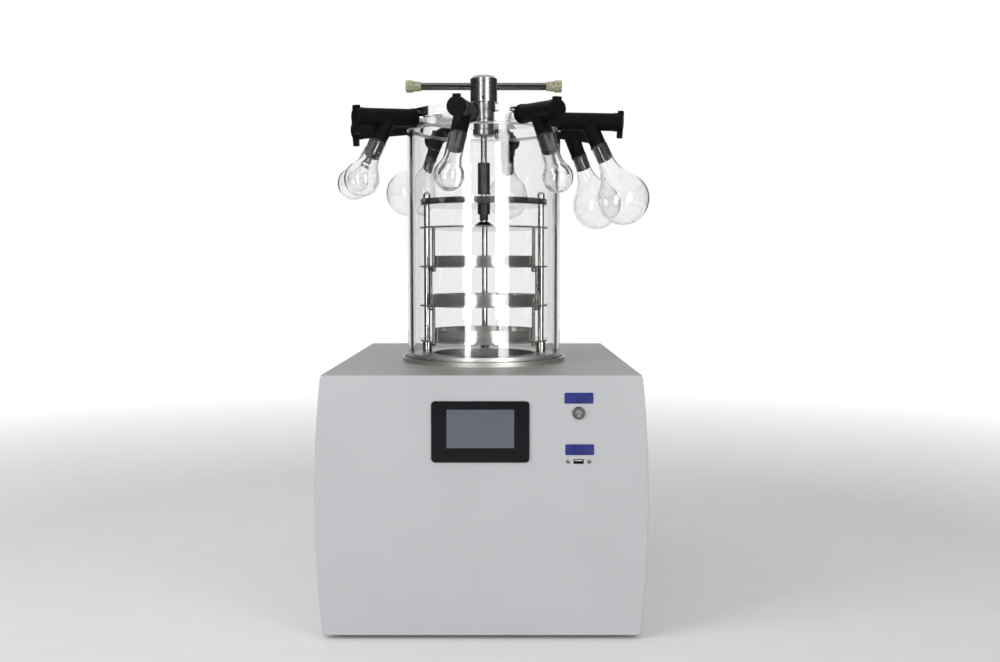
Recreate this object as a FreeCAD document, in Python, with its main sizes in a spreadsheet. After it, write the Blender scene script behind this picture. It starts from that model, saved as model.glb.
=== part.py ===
import FreeCAD, Part
import math
import os
import re
import sys

import Sketcher
from FreeCAD import Placement, Rotation, Vector

# A bench-top freeze dryer with a clear drying chamber, a rack of stoppering shelves pressed
# down by a T-handle, and a manifold lid that carries eight valves with flasks.
# Millimetres, +Z up, +Y to the back. The origin lies on the bench, in the middle of the room
# that the whole machine takes up.

doc = FreeCAD.newDocument("FreezeDryer")
sheet = doc.addObject("Spreadsheet::Sheet", "Sizes")

SIZES = [
    ("middle_x", -7.5, "centre plane of cabinet and chamber, from the origin"),
    ("front_reach", 317, "front face of the cabinet ahead of the origin"),
    ("cab_depth", 615, "cabinet, front face to rear face"),
    ("cab_height", 382, "top face of the cabinet above the bench"),
    ("foot_height", 6, "underside of the cabinet above the bench"),
    ("foot_r", 18, "radius of a rubber foot"),
    ("foot_inset", 42, "foot centre from the cabinet's edges"),
    ("cab_top_half", 229, "half width at the top"),
    ("cab_mid_half", 239, "half width at the widest point of the bowed sides"),
    ("cab_low_half", 229, "half width at the bottom"),
    ("panel_thick", 5, "front panel"),
    ("panel_step", 1, "front panel stands proud of the housing by this"),
    ("corner_r", 6, "upper corners of the front panel"),
    ("edge_r", 1.5, "front edges of the front panel"),
    ("sheet_thick", 2, "housing and rear panel sheet"),
    ("top_thick", 3, "top panel"),
    ("louvre_w", 5, "side louvre, width"),
    ("louvre_high", 80, "side louvre, height"),
    ("louvre_low", 90, "side louvre, lower end above the bench"),
    ("louvre_pitch", 14, "side louvre spacing"),
    ("louvre_count", 9, "side louvres"),
    ("louvre_start", 400, "first side louvre behind the front face"),
    ("screen_x", -1.5, "touch screen centre from the centre plane"),
    ("screen_z", 301.5, "touch screen centre height"),
    ("screen_w", 140, "touch screen bezel, width"),
    ("screen_high", 88, "touch screen bezel, height"),
    ("screen_proud", 2, "bezel stands proud of the front panel"),
    ("screen_r", 6, "bezel corner"),
    ("unit_w", 128, "screen housing behind the panel, width"),
    ("unit_high", 74, "screen housing behind the panel, height"),
    ("unit_depth", 32, "screen housing depth"),
    ("fit_gap", 0.2, "gap of a part dropped through an opening"),
    ("display_w", 96, "display, width"),
    ("display_high", 55, "display, height"),
    ("display_z", 4.5, "display centre above the bezel's centre"),
    ("display_thick", 0.8, "display glass"),
    ("display_sunk", 0.2, "display face behind the bezel's face"),
    ("seam_z", 28.5, "bezel seam line below the bezel's centre"),
    ("seam_w", 0.8, "bezel seam line, width and depth"),
    ("button_x", 138.5, "push button from the centre plane"),
    ("button_z", 328.3, "push button height"),
    ("button_r", 6.3, "push button face"),
    ("button_long", 7, "push button length"),
    ("button_travel", 2, "push button travel"),
    ("button_ring_r", 9.4, "push button bezel"),
    ("button_ring_proud", 2.5, "push button bezel ahead of the panel"),
    ("button_barrel_r", 8, "push button barrel"),
    ("button_barrel_long", 24, "push button barrel behind the panel"),
    ("usb_z", 259, "data socket height"),
    ("usb_w", 14.4, "data socket shell, width"),
    ("usb_high", 6.6, "data socket shell, height"),
    ("usb_wall", 0.7, "data socket shell wall"),
    ("usb_deep", 18, "data socket depth"),
    ("usb_ear_w", 40, "data socket flange, width"),
    ("usb_ear_high", 12, "data socket flange, height"),
    ("usb_screw_x", 15, "data socket screw from its centre"),
    ("screw_r", 1.6, "data socket screw hole"),
    ("axis_back", 249, "chamber axis behind the front face"),
    ("trap_r", 115, "cold trap bucket, outside radius"),
    ("trap_wall", 2, "cold trap sheet"),
    ("trap_deep", 150, "cold trap bucket below the cabinet's top"),
    ("trap_bend_r", 14, "cold trap bottom bend"),
    ("rim_r", 133, "chamber flange, outside radius"),
    ("rim_thick", 3, "chamber flange"),
    ("rim_lip", 4, "turned lip of the chamber flange"),
    ("foam_wall", 30, "insulation round the cold trap"),
    ("foam_gap", 0.3, "insulation clear of the bucket"),
    ("rack_base_z", 395, "rack support ring, top face"),
    ("rack_base_r", 84, "rack support ring, opening"),
    ("rack_base_clear", 1.6, "rack support ring inside the glass"),
    ("tube_r", 125, "drying chamber, outside radius"),
    ("tube_wall", 8, "drying chamber wall"),
    ("tube_low", 389, "drying chamber, lower end"),
    ("tube_high", 753, "drying chamber, upper end"),
    ("gasket_side", 1.5, "lower gasket wider than the chamber, and upper one narrower"),
    ("lid_gasket_thick", 3, "gasket under the lid"),
    ("lid_high", 784, "top face of the lid"),
    ("lid_plate", 12, "lid top plate"),
    ("lid_skirt", 20, "lid skirt wall"),
    ("port_z", 769, "port height at the lid's surface"),
    ("port_r", 6, "port bore"),
    ("port_droop", 3, "ports fall outward by this angle"),
    ("port_first", 31, "azimuth of the first port"),
    ("port_count", 8, "ports"),
    ("port_flat", 0.6, "flat milled round a port"),
    ("valve_r", 14, "valve body"),
    ("valve_long", 89, "valve body, from the lid to the knob"),
    ("valve_collar_r", 15, "valve collar at the lid"),
    ("valve_collar_long", 6, "valve collar length"),
    ("spigot_long", 17, "valve spigot in the lid's port"),
    ("core_r", 7, "knob spindle"),
    ("core_long", 58, "knob spindle in the valve"),
    ("run_gap", 0.08, "running fit, radial"),
    ("gas_r", 4, "gas way through the valve"),
    ("branch_at", 47, "flask branch from the lid's surface"),
    ("branch_tilt", 28, "flask branch away from square to the valve"),
    ("branch_r", 12.4, "flask branch"),
    ("branch_root_r", 13.6, "flask branch where it leaves the valve"),
    ("lip_at", 45, "flask lip along the branch"),
    ("plug_r", 11.6, "stopper's plug in the flask neck"),
    ("plug_long", 24, "stopper's plug length"),
    ("stop_r", 13.4, "stopper's shoulder on the flask lip"),
    ("stop_thick", 3, "stopper's shoulder, thickness"),
    ("knob_r", 14.6, "knob"),
    ("knob_long", 14, "knob length"),
    ("lever_w", 11, "knob lever, width"),
    ("lever_down", 25, "knob lever, long end from the axis"),
    ("lever_up", 17.5, "knob lever, short end from the axis"),
    ("lever_thick", 8, "knob lever along the axis"),
    ("neck_wall", 1.8, "flask glass"),
    ("neck_gap", 0.1, "flask neck round the plug"),
    ("gland_r", 17, "lid gland"),
    ("gland_step_r", 13, "lid gland through the lid"),
    ("gland_high", 802.5, "top of the lid gland"),
    ("gland_low", 747, "bottom of the lid gland"),
    ("ring_r", 17.6, "gland lock rings"),
    ("ring_upper", 11, "upper lock ring"),
    ("ring_lower", 12, "lower lock ring"),
    ("ring_split", 2, "spacer between the lock rings"),
    ("rod_r", 5, "handle rod"),
    ("rod_low", 694, "handle rod, lower end"),
    ("hub_r", 22, "T-handle hub"),
    ("hub_high", 42, "T-handle hub height"),
    ("hub_edge", 4, "T-handle hub, upper chamfer"),
    ("hub_rest", 0.1, "hub clear of the gland"),
    ("bar_z", 829, "T-handle bar height"),
    ("bar_r", 6, "T-handle bar"),
    ("grip_reach", 127, "T-handle grip end from the axis"),
    ("grip_r", 9.8, "T-handle grip"),
    ("grip_long", 25, "T-handle grip length"),
    ("grip_cover", 14, "bar inside a grip"),
    ("set_screw_r", 2.5, "set screw hole in the hub"),
    ("set_screw_z", 808.5, "set screw height"),
    ("sleeve_r", 10, "drive sleeve"),
    ("sleeve_low", 654, "drive sleeve, lower end"),
    ("sleeve_high", 705, "drive sleeve, upper end"),
    ("square_half", 3.4, "square drive, half width"),
    ("square_gap", 0.1, "square drive in the sleeve"),
    ("square_high", 691, "square drive, upper end"),
    ("plate_r", 104, "rack top plate"),
    ("plate_low", 634.5, "rack top plate, underside"),
    ("plate_thick", 10, "rack top plate"),
    ("post_x", 94, "posts from the axis"),
    ("post_r", 5, "post"),
    ("post_foot_r", 8, "post foot"),
    ("post_foot_high", 20, "post foot"),
    ("post_stud_r", 3, "post stud through the top plate"),
    ("post_stud_up", 6, "post stud above the top plate"),
    ("dome_r", 6.3, "dome nut"),
    ("dome_high", 14, "dome nut height"),
    ("press_nut_r", 10.3, "press nut below the plate"),
    ("press_nut_head", 13, "height of the press nut below the plate, before it narrows"),
    ("press_nut_waist_r", 7, "press nut, narrow lower end"),
    ("press_nut_low", 611, "press nut, lower end"),
    ("press_nut_step_r", 7.5, "press nut through the plate"),
    ("press_foot_r", 15.5, "thrust pad"),
    ("press_foot_neck_r", 8, "thrust pad neck"),
    ("press_foot_high", 9.2, "thrust pad height"),
    ("press_foot_edge", 3.5, "thrust pad edge"),
    ("press_seat", 4.2, "screw end in the thrust pad"),
    ("shelf_r", 105, "shelf"),
    ("shelf_thick", 3, "shelf"),
    ("shelf_top_1", 600, "first shelf, top face"),
    ("shelf_top_2", 537.5, "second shelf, top face"),
    ("shelf_top_3", 475, "third shelf, top face"),
    ("slide_gap", 0.4, "shelf clear of posts and pins"),
    ("tray_r", 85, "tray"),
    ("tray_high", 16, "tray"),
    ("tray_wall", 1.5, "tray sheet"),
    ("pin_at", 88, "hanging pins from the axis"),
    ("pin_r", 2.5, "hanging pin"),
    ("pin_head_r", 3.8, "hanging pin head"),
    ("pin_head", 7, "hanging pin head height"),
    ("comp_x", -105, "compressor from the centre plane"),
    ("comp_ahead", 128, "compressor axis ahead of the rear face"),
    ("comp_r", 68, "compressor pot"),
    ("comp_high", 176, "compressor pot height"),
    ("comp_plate", 4, "compressor base plate"),
    ("comp_mount_high", 10, "compressor rubber mounts"),
    ("comp_mount_r", 10, "compressor rubber mounts"),
    ("comp_plate_w", 180, "compressor base plate, width"),
    ("comp_plate_deep", 120, "compressor base plate, depth"),
    ("fan_x", 95, "condenser and fan from the centre plane"),
    ("fan_z", 105, "fan axis height"),
    ("fan_box", 160, "fan frame, width and height"),
    ("fan_box_deep", 38, "fan frame depth"),
    ("fan_hole_r", 75, "fan frame opening"),
    ("fan_tip_r", 71, "fan blade tip"),
    ("fan_hub_r", 26, "fan hub"),
    ("fan_hub_deep", 20, "fan hub depth"),
    ("fan_motor_deep", 12, "fan motor"),
    ("fan_shaft_r", 3, "fan shaft"),
    ("fan_blades", 5, "fan blades"),
    ("blade_thick", 2, "fan blade"),
    ("blade_root", 18, "fan blade width at the hub"),
    ("blade_tip", 22, "fan blade width at the tip"),
    ("blade_root_turn", 50, "fan blade pitch at the hub"),
    ("blade_tip_turn", 32, "fan blade pitch at the tip"),
    ("arm_w", 8, "fan motor arms"),
    ("cond_w", 190, "condenser, width"),
    ("cond_high", 180, "condenser, height"),
    ("cond_deep", 44, "condenser, depth"),
    ("fin_pitch", 15, "condenser fin packs"),
    ("fin_count", 11, "condenser gaps between fin packs"),
    ("fin_gap", 5, "condenser gap between fin packs"),
    ("fin_deep", 12, "condenser gap depth"),
    ("grille_w", 120, "rear grille slot, width"),
    ("grille_slot", 5, "rear grille slot, height"),
    ("grille_pitch", 12, "rear grille slot spacing"),
    ("grille_count", 10, "rear grille slots"),
    ("inlet_x", -150, "mains inlet from the centre plane"),
    ("inlet_z", 75, "mains inlet height"),
    ("inlet_w", 50, "mains inlet plate, width"),
    ("inlet_high", 62, "mains inlet plate, height"),
    ("inlet_plate", 3, "mains inlet plate"),
    ("inlet_body_w", 44, "mains inlet body, width"),
    ("inlet_body_high", 54, "mains inlet body, height"),
    ("inlet_body_deep", 26, "mains inlet body, depth"),
    ("plug_w", 24, "mains plug recess, width"),
    ("plug_high", 16.5, "mains plug recess, height"),
    ("plug_deep", 16, "mains plug recess, depth"),
    ("plug_down", 13, "mains plug recess below the inlet's centre"),
    ("blade_pin_w", 2, "mains pin, width"),
    ("blade_pin_high", 4, "mains pin, height"),
    ("blade_pin_x", 7, "outer mains pins from the middle one"),
    ("rocker_w", 26, "rocker, width"),
    ("rocker_high", 18, "rocker, height"),
    ("rocker_up", 14, "rocker above the inlet's centre"),
    ("rocker_deep", 9, "rocker recess depth"),
    ("rocker_swing", 16, "rocker turns by this"),
    ("rocker_face", 11, "each face of the rocker rises from its middle by this angle"),
    ("vac_z", 312, "vacuum pipe height"),
    ("vac_r", 12.5, "vacuum pipe, outside radius"),
    ("vac_wall", 1.5, "vacuum pipe wall"),
    ("vac_flange_r", 20, "vacuum flange"),
    ("vac_flange", 3, "vacuum flange rim"),
    ("vac_taper", 4, "vacuum flange clamp taper"),
    ("vac_reach", 20, "vacuum pipe behind the rear face"),
]

# Each pair of flasks: name, first word of its sizes' names, radius of the round body, length of
# the straight neck, radius of the shoulder between them, and its ports.
FLASKS = [
    ("flasks_50ml", "small", 23, 32.5, 40, (5, 6)),
    ("flasks_100ml", "medium", 27.5, 20, 40, (3, 4)),
    ("flasks_200ml", "large", 41, 10, 34, (1, 2)),
    ("flasks_300ml", "great", 42, 19.5, 60, (7, 0)),
]


def fill_sheet():
    """Write every driving size into the sheet: its name, its value and what it is."""
    rows = list(SIZES)
    for name, word, radius, neck, shoulder, _ports in FLASKS:
        rows.append((word + "_r", radius, name + ", round body"))
        rows.append((word + "_neck", neck, name + ", straight neck"))
        rows.append((word + "_shoulder", shoulder, name + ", shoulder"))
    for row, (alias, number, note) in enumerate(rows, start=1):
        sheet.set(f"A{row}", note)
        sheet.set(f"B{row}", str(number))
        sheet.setAlias(f"B{row}", alias)
    sheet.recompute()


def bound(expression):
    """An expression in the sheet's names, as other objects of the document must write it."""
    return re.sub(r"\b[a-z_]\w*\b(?!\()", lambda word: "Sizes." + word.group(0), expression)


def value(expression):
    """The number that an expression in the sheet's names gives."""
    sheet.set("D1", "=" + expression)
    sheet.recompute()
    return float(sheet.get("D1"))


# Derived places, written once in the sheet's names.
FRONT = "-front_reach"
REAR = "(cab_depth - front_reach)"
AXIS_Y = "(axis_back - front_reach)"
SHELL_TOP = "(cab_height - top_thick)"
FLOOR = "(foot_height + sheet_thick)"
LID_LOW = "(tube_high + lid_gasket_thick)"
PLATE_TOP = "(plate_low + plate_thick)"
SHELF_4_TOP = "(rack_base_z + post_foot_high + shelf_thick)"
SHELF_TOPS = ["shelf_top_1", "shelf_top_2", "shelf_top_3", SHELF_4_TOP]


# ---------------------------------------------------------------- drawing tools


def new_body(name, at=()):
    """A PartDesign body with a Label of its own, placed by expressions where they are given."""
    body = doc.addObject("PartDesign::Body", name)
    body.Label = name
    for axis, expression in zip("xyz", at):
        body.setExpression("Placement.Base." + axis, bound(expression))
    return body


def sketch_on(body, role, lift="0"):
    """A sketch on one of the body's own origin planes, lifted along the plane's normal."""
    plane = next(f for f in body.Origin.OriginFeatures if f.Role == role)
    sketch = body.newObject("Sketcher::SketchObject", body.Name + "_sketch")
    sketch.AttachmentSupport = [(plane, "")]
    sketch.MapMode = "FlatFace"
    if lift != "0":
        sketch.setExpression("AttachmentOffset.Base.z", bound(lift))
    return sketch


def hold(sketch, kind, places, expression):
    """One dimension of a sketch, bound to the sheet."""
    number = value(expression)
    index = sketch.addConstraint(Sketcher.Constraint(kind, *places, number))
    sketch.setExpression(f"Constraints[{index}]", bound(expression))


def pin_point(sketch, edge, end, x, y):
    """Hold one end of an edge at x, y, on an axis of the sketch where either is nothing."""
    for kind, axis, expression in (("DistanceX", -2, x), ("DistanceY", -1, y)):
        if expression == "0":
            sketch.addConstraint(Sketcher.Constraint("PointOnObject", edge, end, axis))
        else:
            hold(sketch, kind, (-1, 1, edge, end), expression)


def arc_between(start, finish, radius):
    """The shorter arc from start to finish, which turns left for a positive radius. A sketch
    keeps every arc anticlockwise, so one that turns right is drawn from its finish."""
    chord = finish - start
    side = Vector(-chord.y, chord.x, 0).normalize()
    rise = math.sqrt(max(radius**2 - (chord.Length / 2) ** 2, 0))
    centre = (start + finish) / 2 + side * math.copysign(rise, radius)
    first, last = (start, finish) if radius > 0 else (finish, start)
    begin = math.atan2(first.y - centre.y, first.x - centre.x)
    end = math.atan2(last.y - centre.y, last.x - centre.x)
    if end <= begin:
        end += 2 * math.pi
    return Part.ArcOfCircle(Part.Circle(centre, Vector(0, 0, 1), abs(radius)), begin, end)


def outline(sketch, corners):
    """A closed outline. A corner is x, y, and a radius where an arc leads on to the next."""
    points = [Vector(value(c[0]), value(c[1]), 0) for c in corners]
    starts = []
    for i, corner in enumerate(corners):
        here, there = points[i], points[(i + 1) % len(points)]
        if len(corner) == 2:
            edge = sketch.addGeometry(Part.LineSegment(here, there), False)
            starts.append((edge, 1, 2))
            continue
        radius = value(corner[2])
        edge = sketch.addGeometry(arc_between(here, there, radius), False)
        starts.append((edge, 1, 2) if radius > 0 else (edge, 2, 1))
    for i, corner in enumerate(corners):
        edge, start, _finish = starts[i]
        before, _first, last = starts[i - 1]
        sketch.addConstraint(Sketcher.Constraint("Coincident", before, last, edge, start))
        pin_point(sketch, edge, start, corner[0], corner[1])
    for i, corner in enumerate(corners):
        if len(corner) == 3:
            hold(sketch, "Radius", (starts[i][0],), corner[2].lstrip("-"))
    return sketch


def box_outline(sketch, x, y, width, height):
    """A rectangle about the point x, y."""
    left, right = f"{x} - {width} / 2", f"{x} + {width} / 2"
    low, high = f"{y} - {height} / 2", f"{y} + {height} / 2"
    return outline(sketch, [(left, low), (right, low), (right, high), (left, high)])


def round_outline(sketch, x, y, width, height, radius):
    """A rectangle about the point x, y with rounded corners."""
    left, right = f"{x} - {width} / 2", f"{x} + {width} / 2"
    low, high = f"{y} - {height} / 2", f"{y} + {height} / 2"
    return outline(
        sketch,
        [
            (f"{left} + {radius}", low),
            (f"{right} - {radius}", low, radius),
            (right, f"{low} + {radius}"),
            (right, f"{high} - {radius}", radius),
            (f"{right} - {radius}", high),
            (f"{left} + {radius}", high, radius),
            (left, f"{high} - {radius}"),
            (left, f"{low} + {radius}", radius),
        ],
    )


def circle(sketch, x, y, radius):
    """A full circle about the point x, y."""
    centre = Vector(value(x), value(y), 0)
    ring = Part.Circle(centre, Vector(0, 0, 1), value(radius))
    edge = sketch.addGeometry(ring, False)
    pin_point(sketch, edge, 3, x, y)
    hold(sketch, "Radius", (edge,), radius)
    return sketch


def pad(body, sketch, length, reversed_way=False):
    """Pad a sketch along its normal, or against it."""
    feature = body.newObject("PartDesign::Pad", body.Name + "_pad")
    feature.Profile = sketch
    feature.Reversed = reversed_way
    feature.setExpression("Length", bound(length))
    return feature


def pocket(body, sketch, length, reversed_way=False):
    """Cut a sketch into the body: against its normal, or along it."""
    feature = body.newObject("PartDesign::Pocket", body.Name + "_pocket")
    feature.Profile = sketch
    feature.Reversed = reversed_way
    feature.setExpression("Length", bound(length))
    return feature


def pocket_through(body, sketch):
    """Cut a sketch right through the body, both ways."""
    feature = body.newObject("PartDesign::Pocket", body.Name + "_pocket")
    feature.Profile = sketch
    feature.Type = "ThroughAll"
    feature.SideType = "Symmetric"
    return feature


def turned(body, corners, axis="V_Axis"):
    """Turn a profile, drawn as radius and height, into a solid of revolution."""
    sketch = outline(sketch_on(body, "XZ_Plane"), corners)
    feature = body.newObject("PartDesign::Revolution", body.Name + "_turn")
    feature.Profile = sketch
    feature.ReferenceAxis = (sketch, [axis])
    feature.Angle = 360
    return feature


def grooved(body, corners, axis="V_Axis"):
    """Turn a profile and take it out of the body."""
    sketch = outline(sketch_on(body, "XZ_Plane"), corners)
    feature = body.newObject("PartDesign::Groove", body.Name + "_groove")
    feature.Profile = sketch
    feature.ReferenceAxis = (sketch, [axis])
    feature.Angle = 360
    return feature


def row(body, feature, axis_name, spacing, count):
    """Repeat a feature along one of the body's axes."""
    axis = next(f for f in body.Origin.OriginFeatures if f.Role == axis_name)
    pattern = body.newObject("PartDesign::LinearPattern", body.Name + "_row")
    pattern.Originals = [feature]
    pattern.Direction = (axis, [""])
    pattern.Mode = "Spacing"
    pattern.setExpression("Offset", bound(spacing))
    pattern.Occurrences = count
    body.Tip = pattern
    return pattern


def ring_of(body, features, axis_name, count):
    """Repeat features round one of the body's axes."""
    axis = next(f for f in body.Origin.OriginFeatures if f.Role == axis_name)
    pattern = body.newObject("PartDesign::PolarPattern", body.Name + "_ring")
    pattern.Originals = features
    pattern.Axis = (axis, [""])
    pattern.Angle = 360
    pattern.Occurrences = count
    body.Tip = pattern
    return pattern


def edge_names(shape, chosen):
    """The names of the edges whose middle the test chooses."""
    names = []
    for i, edge in enumerate(shape.Edges, start=1):
        if chosen(edge):
            names.append(f"Edge{i}")
    return names


def rounded(body, radius, chosen):
    """Round the edges that the test chooses."""
    doc.recompute()
    base = body.Tip
    feature = body.newObject("PartDesign::Fillet", body.Name + "_fillet")
    feature.Base = (base, edge_names(base.Shape, chosen))
    feature.setExpression("Radius", bound(radius))
    return feature


def group(name, pieces):
    """Separate equal pieces kept together as one sub-part."""
    compound = doc.addObject("Part::Compound", name)
    compound.Label = name
    compound.Links = pieces
    return compound


# ---------------------------------------------------------------- cabinet


def bow_radius(low, mid, top, z_low, z_high):
    """Radius of the arc that bows a side out from its chord to its widest point."""
    rise = f"({mid} - ({top} + {low}) / 2)"
    half = f"(({z_high} - {z_low}) / 2)"
    return f"(({half} * {half} + {rise} * {rise}) / (2 * {rise}))"


SHELL_LOW = "(cab_low_half - panel_step)"
SHELL_HALF = "(cab_top_half - panel_step)"
BOW = bow_radius("cab_low_half", "cab_mid_half", "cab_top_half", "foot_height", "cab_height")
BOW_BACK = "-" + BOW


def make_front_panel():
    """Thick front panel with bowed sides, a screen opening, a button hole and a socket slot."""
    body = new_body("front_panel", ("middle_x", FRONT, "0"))
    face = outline(
        sketch_on(body, "XZ_Plane"),
        [
            ("-cab_low_half", "foot_height"),
            ("cab_low_half", "foot_height", BOW),
            ("cab_top_half", "cab_height"),
            ("-cab_top_half", "cab_height", BOW),
        ],
    )
    pad(body, face, "panel_thick", True)
    top = value("cab_height")
    side = value("cab_top_half")
    rounded(
        body,
        "corner_r",
        lambda e: abs(e.CenterOfMass.z - top) < 0.01 and abs(abs(e.CenterOfMass.x) - side) < 0.01,
    )
    rounded(body, "edge_r", lambda e: e.BoundBox.YMax < 0.01)
    openings = sketch_on(body, "XZ_Plane")
    box_outline(openings, "screen_x", "screen_z", "(unit_w + 2 * fit_gap)", "(unit_high + 2 * fit_gap)")
    circle(openings, "button_x", "button_z", "button_barrel_r + fit_gap")
    box_outline(openings, "button_x", "usb_z", "(usb_w + 2 * fit_gap)", "(usb_high + 2 * fit_gap)")
    circle(openings, "button_x - usb_screw_x", "usb_z", "screw_r")
    circle(openings, "button_x + usb_screw_x", "usb_z", "screw_r")
    pocket_through(body, openings)
    return body


def make_cabinet_shell():
    """Sides and floor bent from one sheet, with louvres in both sides at the back."""
    body = new_body("cabinet_shell", ("middle_x", FRONT + " + panel_thick", "0"))
    inner_low = SHELL_LOW + " - sheet_thick"
    inner_top = SHELL_HALF + " - sheet_thick"
    section = outline(
        sketch_on(body, "XZ_Plane"),
        [
            ("-" + SHELL_LOW, "foot_height"),
            (SHELL_LOW, "foot_height", BOW),
            (SHELL_HALF, SHELL_TOP),
            (inner_top, SHELL_TOP, BOW_BACK),
            (inner_low, FLOOR),
            (f"-({inner_low})", FLOOR, BOW_BACK),
            (f"-({inner_top})", SHELL_TOP),
            ("-" + SHELL_HALF, SHELL_TOP, BOW),
        ],
    )
    pad(body, section, "cab_depth - panel_thick - sheet_thick", True)
    slot = round_outline(
        sketch_on(body, "YZ_Plane"),
        "louvre_start",
        "(louvre_low + louvre_high / 2)",
        "louvre_w",
        "louvre_high",
        "0.45 * louvre_w",
    )
    row(body, pocket_through(body, slot), "Y_Axis", "louvre_pitch", round(value("louvre_count")))
    return body


def make_top_panel():
    """Flat top panel with the mouth of the cold trap cut through it."""
    body = new_body("top_panel", ("middle_x", FRONT, SHELL_TOP))
    sketch = outline(
        sketch_on(body, "XY_Plane"),
        [
            ("-" + SHELL_HALF, "panel_thick"),
            (SHELL_HALF, "panel_thick"),
            (SHELL_HALF, "cab_depth - sheet_thick"),
            ("-" + SHELL_HALF, "cab_depth - sheet_thick"),
        ],
    )
    circle(sketch, "0", "axis_back", "trap_r + 2 * fit_gap")
    pad(body, sketch, "top_thick")
    return body


def make_rear_panel():
    """Rear panel: fan grille, opening for the mains inlet and hole for the vacuum pipe."""
    body = new_body("rear_panel", ("middle_x", REAR + " - sheet_thick", "0"))
    face = outline(
        sketch_on(body, "XZ_Plane"),
        [
            ("-" + SHELL_LOW, "foot_height"),
            (SHELL_LOW, "foot_height", BOW),
            (SHELL_HALF, "cab_height"),
            ("-" + SHELL_HALF, "cab_height", BOW),
        ],
    )
    pad(body, face, "sheet_thick", True)
    holes = sketch_on(body, "XZ_Plane")
    width = "(inlet_body_w + 2 * fit_gap)"
    height = "(inlet_body_high + 2 * fit_gap)"
    box_outline(holes, "inlet_x", "inlet_z", width, height)
    circle(holes, "0", "vac_z", "vac_r + 2 * fit_gap")
    pocket_through(body, holes)
    first = "(fan_z - grille_pitch * (grille_count - 1) / 2)"
    slot = round_outline(
        sketch_on(body, "XZ_Plane"), "fan_x", first, "grille_w", "grille_slot", "0.45 * grille_slot"
    )
    cut = pocket_through(body, slot)
    row(body, cut, "Z_Axis", "grille_pitch", round(value("grille_count")))
    return body


def make_feet():
    """Four rubber feet, dished a little at the edge."""
    feet = []
    for side in ("-", ""):
        for end in ("foot_inset", "(cab_depth - foot_inset)"):
            x = f"middle_x + {side or '1 * '}(cab_low_half - foot_inset)"
            body = new_body("foot", (x, f"{FRONT} + {end}", "0"))
            turned(
                body,
                [
                    ("0", "0"),
                    ("0.8 * foot_r", "0"),
                    ("foot_r", "0.4 * foot_height"),
                    ("foot_r", "foot_height"),
                    ("0", "foot_height"),
                ],
            )
            feet.append(body)
    return group("feet", feet)


# ---------------------------------------------------------------- front controls


def make_screen_bezel():
    """Touch screen unit: moulded bezel with a recess and a seam line, housing behind it."""
    body = new_body("screen_bezel", ("middle_x + screen_x", FRONT, "screen_z"))
    plate = round_outline(
        sketch_on(body, "XZ_Plane"), "0", "0", "screen_w", "screen_high", "screen_r"
    )
    pad(body, plate, "screen_proud")
    front = -value("screen_proud")
    rounded(body, "0.5 * screen_proud", lambda e: e.BoundBox.YMax < front + 0.01)
    housing = box_outline(sketch_on(body, "XZ_Plane"), "0", "0", "unit_w", "unit_high")
    pad(body, housing, "unit_depth", True)
    recess = sketch_on(body, "XZ_Plane", "screen_proud")
    width = "(display_w + 2 * fit_gap)"
    height = "(display_high + 2 * fit_gap)"
    box_outline(recess, "0", "display_z", width, height)
    pocket(body, recess, "display_thick + display_sunk")
    seam = sketch_on(body, "XZ_Plane", "screen_proud")
    box_outline(seam, "0", "-seam_z", "(screen_w - 2 * screen_r)", "seam_w")
    pocket(body, seam, "seam_w")
    return body


def make_screen_display():
    """Display glass in the recess of the bezel."""
    y = f"{FRONT} - screen_proud + display_sunk + display_thick"
    body = new_body("screen_display", ("middle_x + screen_x", y, "screen_z + display_z"))
    glass = box_outline(sketch_on(body, "XZ_Plane"), "0", "0", "display_w", "display_high")
    pad(body, glass, "display_thick")
    return body


def make_button_bezel():
    """Steel button housing: a bevelled ring on the panel, a threaded barrel behind it."""
    body = new_body("button_bezel", ("middle_x + button_x", FRONT, "button_z"))
    bore = "button_r + fit_gap"
    deep = "(button_long + button_travel + fit_gap - button_ring_proud)"
    sketch = outline(
        sketch_on(body, "XY_Plane"),
        [
            ("0", deep),
            (bore, deep),
            (bore, "-button_ring_proud"),
            ("button_ring_r - 0.4 * button_ring_proud", "-button_ring_proud"),
            ("button_ring_r", "-0.4 * button_ring_proud"),
            ("button_ring_r", "0"),
            ("button_barrel_r", "0"),
            ("button_barrel_r", "button_barrel_long"),
            ("0", "button_barrel_long"),
        ],
    )
    feature = body.newObject("PartDesign::Revolution", "button_bezel_turn")
    feature.Profile = sketch
    feature.ReferenceAxis = (sketch, ["V_Axis"])
    feature.Angle = 360
    return body


def make_push_button():
    """Push button cap with a shallow dish and a rounded rim."""
    y = f"{FRONT} - button_ring_proud + fit_gap"
    body = new_body("push_button", ("middle_x + button_x", y, "button_z"))
    sketch = outline(
        sketch_on(body, "XY_Plane"),
        [
            ("0", "0.1 * button_r"),
            ("0.6 * button_r", "0.1 * button_r"),
            ("0.75 * button_r", "0"),
            ("0.9 * button_r", "0"),
            ("button_r", "0.1 * button_r"),
            ("button_r", "button_long"),
            ("0", "button_long"),
        ],
    )
    feature = body.newObject("PartDesign::Revolution", "push_button_turn")
    feature.Profile = sketch
    feature.ReferenceAxis = (sketch, ["V_Axis"])
    feature.Angle = 360
    return body


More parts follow.
